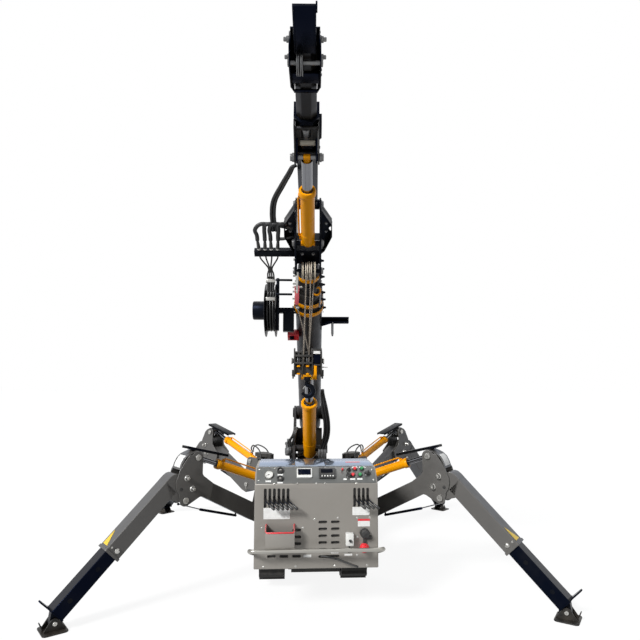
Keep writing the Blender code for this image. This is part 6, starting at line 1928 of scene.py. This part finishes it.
def build_hook_block():
    """Hook block: two sheaves between four plates, cross bars, orange marks and a blank label."""
    low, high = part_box("hook_block")
    middle = (low + high) / 2
    y = middle.y
    x0, x1 = low.x, high.x
    top, bottom = high.z, low.z
    deep = (high.y - low.y) / 2
    plates = bmesh.new()
    for x, thick in ((x0, 0.010), (x0 + 0.052, 0.008), (x1 - 0.068, 0.008), (x1 - 0.010, 0.010)):
        outline = arc((0, top - deep), deep, 0, 180, 15)
        outline += [(px, bottom + 0.8 * (deep + pz)) for px, pz in arc((0, 0), deep, 180, 360, 15)]
        plate(plates, outline, thick, Matrix.Translation((x, y, 0)) @ ACROSS)
    piece("block_plates", plates, "chassis_paint", "hook_tackle", CRISP, 0.0015, ("hook_block",))
    inner = bmesh.new()
    box(inner, (x0 + 0.008, y - deep * 0.62, bottom + 0.014), (x1 - 0.008, y + deep * 0.62, bottom + 0.072))
    box(inner, (x0 + 0.006, y + deep * 0.20, bottom + 0.072), (x1 - 0.006, y + deep * 0.32, top - 0.030))
    box(inner, (x0 + 0.010, y - deep - 0.004, bottom + 0.083), (x1 - 0.062, y - deep + 0.012, bottom + 0.096))
    box(inner, (x0 + 0.010, y - deep - 0.004, top - 0.060), (x1 - 0.062, y - deep + 0.010, top - 0.046))
    box(inner, (x1 - 0.060, y - deep - 0.002, top - 0.020), (x1 - 0.012, y - deep + 0.020, top - 0.008))
    box(inner, (x1 - 0.060, y - deep * 0.9, bottom + 0.072), (x1 - 0.012, y + deep * 0.9, bottom + 0.084))
    for side in (-1, 1):
        x = x0 - 0.004 if side < 0 else x1 + 0.004
        box(inner, (x - 0.008, y - 0.030, bottom + 0.004), (x + 0.008, y + 0.030, bottom + 0.046))
        box(inner, (x - 0.005, y - 0.020, bottom - 0.012), (x + 0.005, y + 0.020, bottom + 0.020))
    bar(inner, (x0 - 0.012, y, middle.z + 0.010), (x1 + 0.012, y, middle.z + 0.010), 0.0160, 32)
    bar(inner, (x0 + 0.002, y - deep * 0.72, top - 0.030), (x1 - 0.002, y - deep * 0.72, top - 0.030), 0.007,
        20)
    piece("block_bars", inner, "chassis_paint", "hook_tackle", TURNED, 0.0012)
    sheaves = bmesh.new()
    for x in (x0 + 0.031, middle.x):
        turned(sheaves, mirrored(((-0.0105, 0.0), (-0.0105, 0.050), (-0.009, 0.061), (-0.0065, 0.062),
                                  (-0.002, 0.052))), (x, y, middle.z + 0.010), (x + 1, y, middle.z + 0.010),
               56)
    piece("block_sheaves", sheaves, "cast_steel", "hook_tackle", TURNED)
    label = bmesh.new()
    box(label, (x1 - 0.058, y - deep - 0.0028, top - 0.040), (x1 - 0.014, y - deep + 0.002, top - 0.022))
    piece("block_label", label, "label_white", "hook_tackle")
    # A gloss black sheet in the gap between the front cross bars: painted shade inside the block.
    dark = bmesh.new()
    box(dark, (x1 - 0.056, y - deep + 0.004, bottom + 0.090), (x1 - 0.014, y - deep + 0.012, top - 0.044))
    piece("block_gap_shade", dark, "gloss_black", "hook_tackle")
    yellow = bmesh.new()
    for x in (x0 + 0.030, x0 + 0.090):
        for z in (bottom + 0.064, bottom + 0.014):
            box(yellow, (x - 0.010, y - deep - 0.003, z), (x + 0.010, y - deep * 0.50, z + 0.010))
    box(yellow, (x1 - 0.054, y - deep - 0.004, bottom + 0.010), (x1 - 0.036, y - deep * 0.56, bottom + 0.072))
    piece("block_marks", yellow, "cylinder_orange", "hook_tackle", CRISP, 0.001)
    pin = bmesh.new()
    bar(pin, (x1 + 0.004, y, bottom + 0.064), (x1 + 0.040, y, bottom + 0.064), 0.0035, 16)
    for x in (x0 - 0.012, x1 + 0.012):
        bar(pin, (x - 0.004, y, middle.z + 0.010), (x + 0.004, y, middle.z + 0.010), 0.021, 32)
    piece("block_pins", pin, "plated_steel", "hook_tackle", ROUND, 0.0008)


def build_hook():
    """Forged swivel hook: shank, eye of heavier section at its back, point and sprung latch."""
    low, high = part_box("hook")
    x, y = joint_at("hook_swivel").x, joint_at("hook_swivel").y
    top = high.z
    centre = Vector((x, y, low.z + 0.036 + 0.014))
    bowl = 0.036
    bm = bmesh.new()
    rows = []
    path = [(0.0, top - 0.030, 0.014, 0.014), (0.0, centre.z + bowl + 0.040, 0.0135, 0.0135)]
    for k in range(17):
        angle = math.radians(112 - 17.2 * k)
        heavy = 1.0 + 0.45 * math.sin(math.pi * min(k, 14) / 15) - 0.030 * max(0, k - 9)
        path.append((bowl * math.cos(angle), centre.z + bowl * math.sin(angle), 0.0125 * heavy,
                     0.0105 * heavy))
    for k, (px, pz, tall, wide) in enumerate(path):
        before, after = path[max(k - 1, 0)], path[min(k + 1, len(path) - 1)]
        way = Vector((after[0] - before[0], 0, after[1] - before[1])).normalized()
        normal = Vector((-way.z, 0, way.x))
        rows.append([Vector((x + px, y, pz)) + normal * tall * math.cos(math.radians(a)) + Vector((0, 1, 0))
                     * wide * math.sin(math.radians(a)) for a in range(0, 360, 18)])
    loft(bm, rows)
    turned(bm, ((0.0, 0.0), (0.0, 0.024), (0.008, 0.026), (0.022, 0.026), (0.030, 0.020), (0.036, 0.0)),
           (x, y, top), (x, y, top - 1), 36)
    piece("hook_forging", bm, "satin_black", "hook_body", HOSE, 0.0, ("hook",))
    latch = bmesh.new()
    start = Vector((x + 0.004, y, centre.z + bowl + 0.030))
    end = Vector((x - bowl * 0.86, y, centre.z + bowl * 0.30))
    here = between(start, end)[0]
    box(latch, (-0.002, -0.0095, -(end - start).length / 2), (0.002, 0.0095, (end - start).length / 2), here)
    bar(latch, start + Vector((0, -0.014, 0)), start + Vector((0, 0.014, 0)), 0.005, 20)
    piece("hook_latch", latch, "plated_steel", "hook_body", TURNED, 0.0006)
    nut = bmesh.new()
    bmesh.ops.create_icosphere(nut, subdivisions=3, radius=0.0085,
                               matrix=Matrix.Translation((x + 0.022, y - 0.012, top - 0.012)))
    piece("hook_nipple", nut, "yellow_plastic", "hook_body", HOSE)


def build_ropes():
    """The four falls of the hoist rope, with their turns over the head's sheaves and under the block's."""
    head = boom_spot(0, *HEAD_PIN)
    block_low, block_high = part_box("hook_block")
    pin = Vector((head.x, head.y, (block_low.z + block_high.z) / 2 + 0.010))
    r = ROPE_TURN
    bm = bmesh.new()
    for x0, x1, y in ((-0.012, -0.030, -r), (-0.012, -0.030, r), (0.015, 0.006, -r), (0.045, 0.006, r)):
        add_run(bm, [(head.x + x0, head.y + y, head.z), (pin.x + x1, pin.y + y, pin.z)], ROPE_RADIUS, 1, 4)
    for centre, places, over in ((head, (-0.012, 0.015), 1), (pin, (-0.030, 0.006), -1)):
        for x in places:
            add_run(bm, [(centre.x + x, centre.y - r * math.cos(math.radians(a)),
                          centre.z + over * r * math.sin(math.radians(a))) for a in range(0, 181, 15)],
                    ROPE_RADIUS, 3, 4)
    piece("rope_falls", bm, "wire_rope", "hook_tackle", HOSE, 0.0, ("hoist_rope",))


def build_column_hoses():
    """Five hoses that loop from the boom down the column's right, and four thin ones down its left."""
    place = boom_place()
    hoses = bmesh.new()
    for k in range(5):
        off = (k - 2) * 0.011
        lag = 0.012 * (k % 2)
        add_run(hoses, [place @ Vector((0.112 + off * 0.3, 0.520, 0.118)),
                        (0.112 + off * 0.5, 0.452 + lag, 1.372), (0.128 + off, 0.470 + lag, 1.260),
                        (0.150 + off, 0.500 + lag, 1.130), (0.148 + off, 0.520 + lag, 1.020),
                        (0.118 + off, 0.540 + lag, 0.900), (0.112 + off, 0.560 + lag, 0.760),
                        (0.105 + off, 0.590 + lag, 0.680)], 0.0085, 8, 3)
    piece("boom_hoses", hoses, "braided_hose", "superstructure", HOSE)
    thin = bmesh.new()
    for k in range(4):
        off = (k - 1.5) * 0.009
        add_run(thin, [(-0.118 + off, 0.560, 1.090), (-0.140 + off, 0.545, 1.020),
                       (-0.160 + off * 2, 0.560, 0.960), (-0.168 + off, 0.585, 0.880),
                       (-0.150 + off, 0.610, 0.780), (-0.140 + off, 0.620, 0.680)], 0.0058, 7, 3)
    piece("column_hoses", thin, "hose_rubber", "superstructure", HOSE)


def build_column_fittings():
    """The slew motor left of the column, the web between its cheeks, and the valve block on its right."""
    motor = bmesh.new()
    turned(motor, ((0.0, 0.0), (0.0, 0.034), (0.008, 0.038), (0.022, 0.038), (0.024, 0.032), (0.052, 0.032),
                   (0.054, 0.038), (0.100, 0.038), (0.106, 0.030), (0.118, 0.028), (0.118, 0.0)),
           (-0.180, 0.600, 0.955), (-0.180, 0.600, 0.80), 40)
    box(motor, (-0.215, 0.570, 0.842), (-0.138, 0.640, 0.862))
    box(motor, (-0.200, 0.560, 0.940), (-0.160, 0.600, 0.985))
    piece("slew_motor", motor, "dark_steel", "superstructure", TURNED, 0.0012)
    web = bmesh.new()
    behind = joint_at("luff_ram_tilt").y + 0.270
    box(web, (-0.129, behind, 0.885), (0.129, behind + 0.014, 1.055))
    piece("column_web", web, "boom_paint", "superstructure", CRISP, 0.002)
    valves = bmesh.new()
    for k in range(3):
        box(valves, (0.075 + 0.026 * k, 0.500, 0.790), (0.097 + 0.026 * k, 0.560, 0.900))
    box(valves, (0.070, 0.505, 0.770), (0.150, 0.600, 0.792))
    piece("valve_block", valves, "dark_steel", "superstructure", CRISP, 0.002)


def build_winch():
    """Flanged winch drum with one layer of rope wound on it."""
    low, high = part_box("winch_drum")
    middle = (low + high) / 2
    drum = bmesh.new()
    r = (high.z - low.z) / 2
    side = rightward("winch_spin")
    half = (high.x - low.x) / 2
    start, end = middle - side * half, middle + side * half
    turned(drum, ((0.0, 0.022), (0.0, r), (0.012, r), (0.013, r * 0.72), (2 * half - 0.013, r * 0.72),
                  (2 * half - 0.012, r), (2 * half, r), (2 * half, 0.022)), start, end, 56)
    piece("winch_barrel", drum, "dark_steel", "winch", TURNED, 0.0, ("winch_drum",))
    coils = bmesh.new()
    count = int((2 * half - 0.030) / 0.0088)
    for k in range(count):
        spot = start + side * (0.0175 + 0.0088 * k)
        turned(coils, ring_profile(0.0043, r * 0.76, 0.0043, 45), spot, spot + side, 44)
    piece("wound_rope", coils, "wire_rope", "winch", BENT)


def build_upper_works():
    """Jib, hook block, ropes, and what stands on the column."""
    build_jib_ram()
    build_jib_eye_pin()
    build_jib_window()
    build_jib_head_bracket()
    build_jib_boxes()
    build_jib_sheave()
    build_hook_block()
    build_hook()
    build_ropes()
    build_column_hoses()
    build_column_fittings()
    build_winch()


# Studio

FLOOR_HALF = 60.0
FLOOR_GLOW = 1.45
FLOOR_GLOW_SHARE = 0.62
SKY_LEVEL = 0.22
TOWARDS_KEY = (-0.95, -1.0, 0.9)
KEY_LEVEL = 4.0
KEY_SOFTNESS = 14.0        # the key's width as seen from the machine, in degrees
FILLS = (("fill", (4.5, -4.5, 2.5), (0, -0.5, 1.0), 3.0, 20),
         ("top", (0.5, 1.5, 7.0), (0, 0, 0.8), 3.0, 120))


def seen_directly(tree):
    """1 for the camera's rays and for those that a mirror or a clear piece sends on, else 0."""
    rays = add_node(tree, "ShaderNodeLightPath")
    pair = add_node(tree, "ShaderNodeMath", {"operation": "MAXIMUM"}, n0=rays.outputs["Is Camera Ray"],
                    n1=rays.outputs["Is Glossy Ray"])
    return add_node(tree, "ShaderNodeMath", {"operation": "MAXIMUM"}, n0=pair.outputs[0],
                    n1=rays.outputs["Is Transmission Ray"]).outputs[0]


def build_floor():
    """Pale floor that looks white to the camera and keeps a soft shadow."""
    floor = bmesh.new()
    bmesh.ops.create_grid(floor, x_segments=1, y_segments=1, size=FLOOR_HALF)
    mesh = bpy.data.meshes.new("floor")
    floor.to_mesh(mesh)
    floor.free()
    made, tree = blank_material("studio_floor")
    shader = finish_shader(tree, linear("9C9C9A"), 0.9, None, Specular_IOR_Level=0.0)
    glow = add_node(tree, "ShaderNodeEmission", Color=(1, 1, 1, 1), Strength=FLOOR_GLOW)
    share = add_node(tree, "ShaderNodeMapRange", Value=seen_directly(tree), To_Max=FLOOR_GLOW_SHARE)
    mix = add_node(tree, "ShaderNodeMixShader", n0=share.outputs["Result"], n1=shader.outputs[0],
                   n2=glow.outputs[0])
    output = [n for n in tree.nodes if n.type == "OUTPUT_MATERIAL"][0]
    tree.links.new(mix.outputs[0], output.inputs["Surface"])
    mesh.materials.append(made)
    ground = bpy.data.objects.new("floor", mesh)
    bpy.context.scene.collection.objects.link(ground)


def build_backdrop():
    """A white backdrop for the camera, and a dim cool sky for everything else."""
    world = bpy.data.worlds.new("studio")
    bpy.context.scene.world = world
    world.use_nodes = True
    tree = world.node_tree
    tree.nodes.clear()
    spot = add_node(tree, "ShaderNodeTexCoord").outputs["Generated"]
    height = add_node(tree, "ShaderNodeSeparateXYZ", Vector=spot).outputs["Z"]
    climb = add_node(tree, "ShaderNodeMapRange", Value=height, From_Min=-0.1, From_Max=0.9).outputs["Result"]
    sky = add_node(tree, "ShaderNodeMix", {"data_type": "RGBA"}, n0=climb, n6=linear("E9E9E8"),
                   n7=linear("B8C8E0")).outputs[2]
    soft = add_node(tree, "ShaderNodeBackground", Color=sky, Strength=SKY_LEVEL)
    white = add_node(tree, "ShaderNodeBackground", Color=(1, 1, 1, 1), Strength=1.0)
    mix = add_node(tree, "ShaderNodeMixShader", n0=seen_directly(tree), n1=soft.outputs[0],
                   n2=white.outputs[0])
    add_node(tree, "ShaderNodeOutputWorld", Surface=mix.outputs[0])


def build_lamps():
    """A soft key from the upper left, a weak fill from the right and one from above."""
    key = bpy.data.lights.new("key", "SUN")
    key.energy = KEY_LEVEL
    key.angle = math.radians(KEY_SOFTNESS)
    holder = bpy.data.objects.new("key", key)
    holder.matrix_world = (-Vector(TOWARDS_KEY)).to_track_quat("-Z", "Y").to_matrix().to_4x4()
    bpy.context.scene.collection.objects.link(holder)
    for name, place, target, size, power in FILLS:
        lamp = bpy.data.lights.new(name, "AREA")
        lamp.shape = "SQUARE"
        lamp.size = size
        lamp.energy = power
        holder = bpy.data.objects.new(name, lamp)
        aim = Vector(target) - Vector(place)
        holder.matrix_world = Matrix.Translation(place) @ aim.to_track_quat("-Z", "Y").to_matrix().to_4x4()
        bpy.context.scene.collection.objects.link(holder)


place_camera()
dress_carrier()
build_console()
dress_legs()
build_leg_details()
dress_boom()
build_superstructure_details()
build_upper_works()
build_floor()
build_backdrop()
build_lamps()
bpy.context.scene.view_settings.view_transform = "Standard"
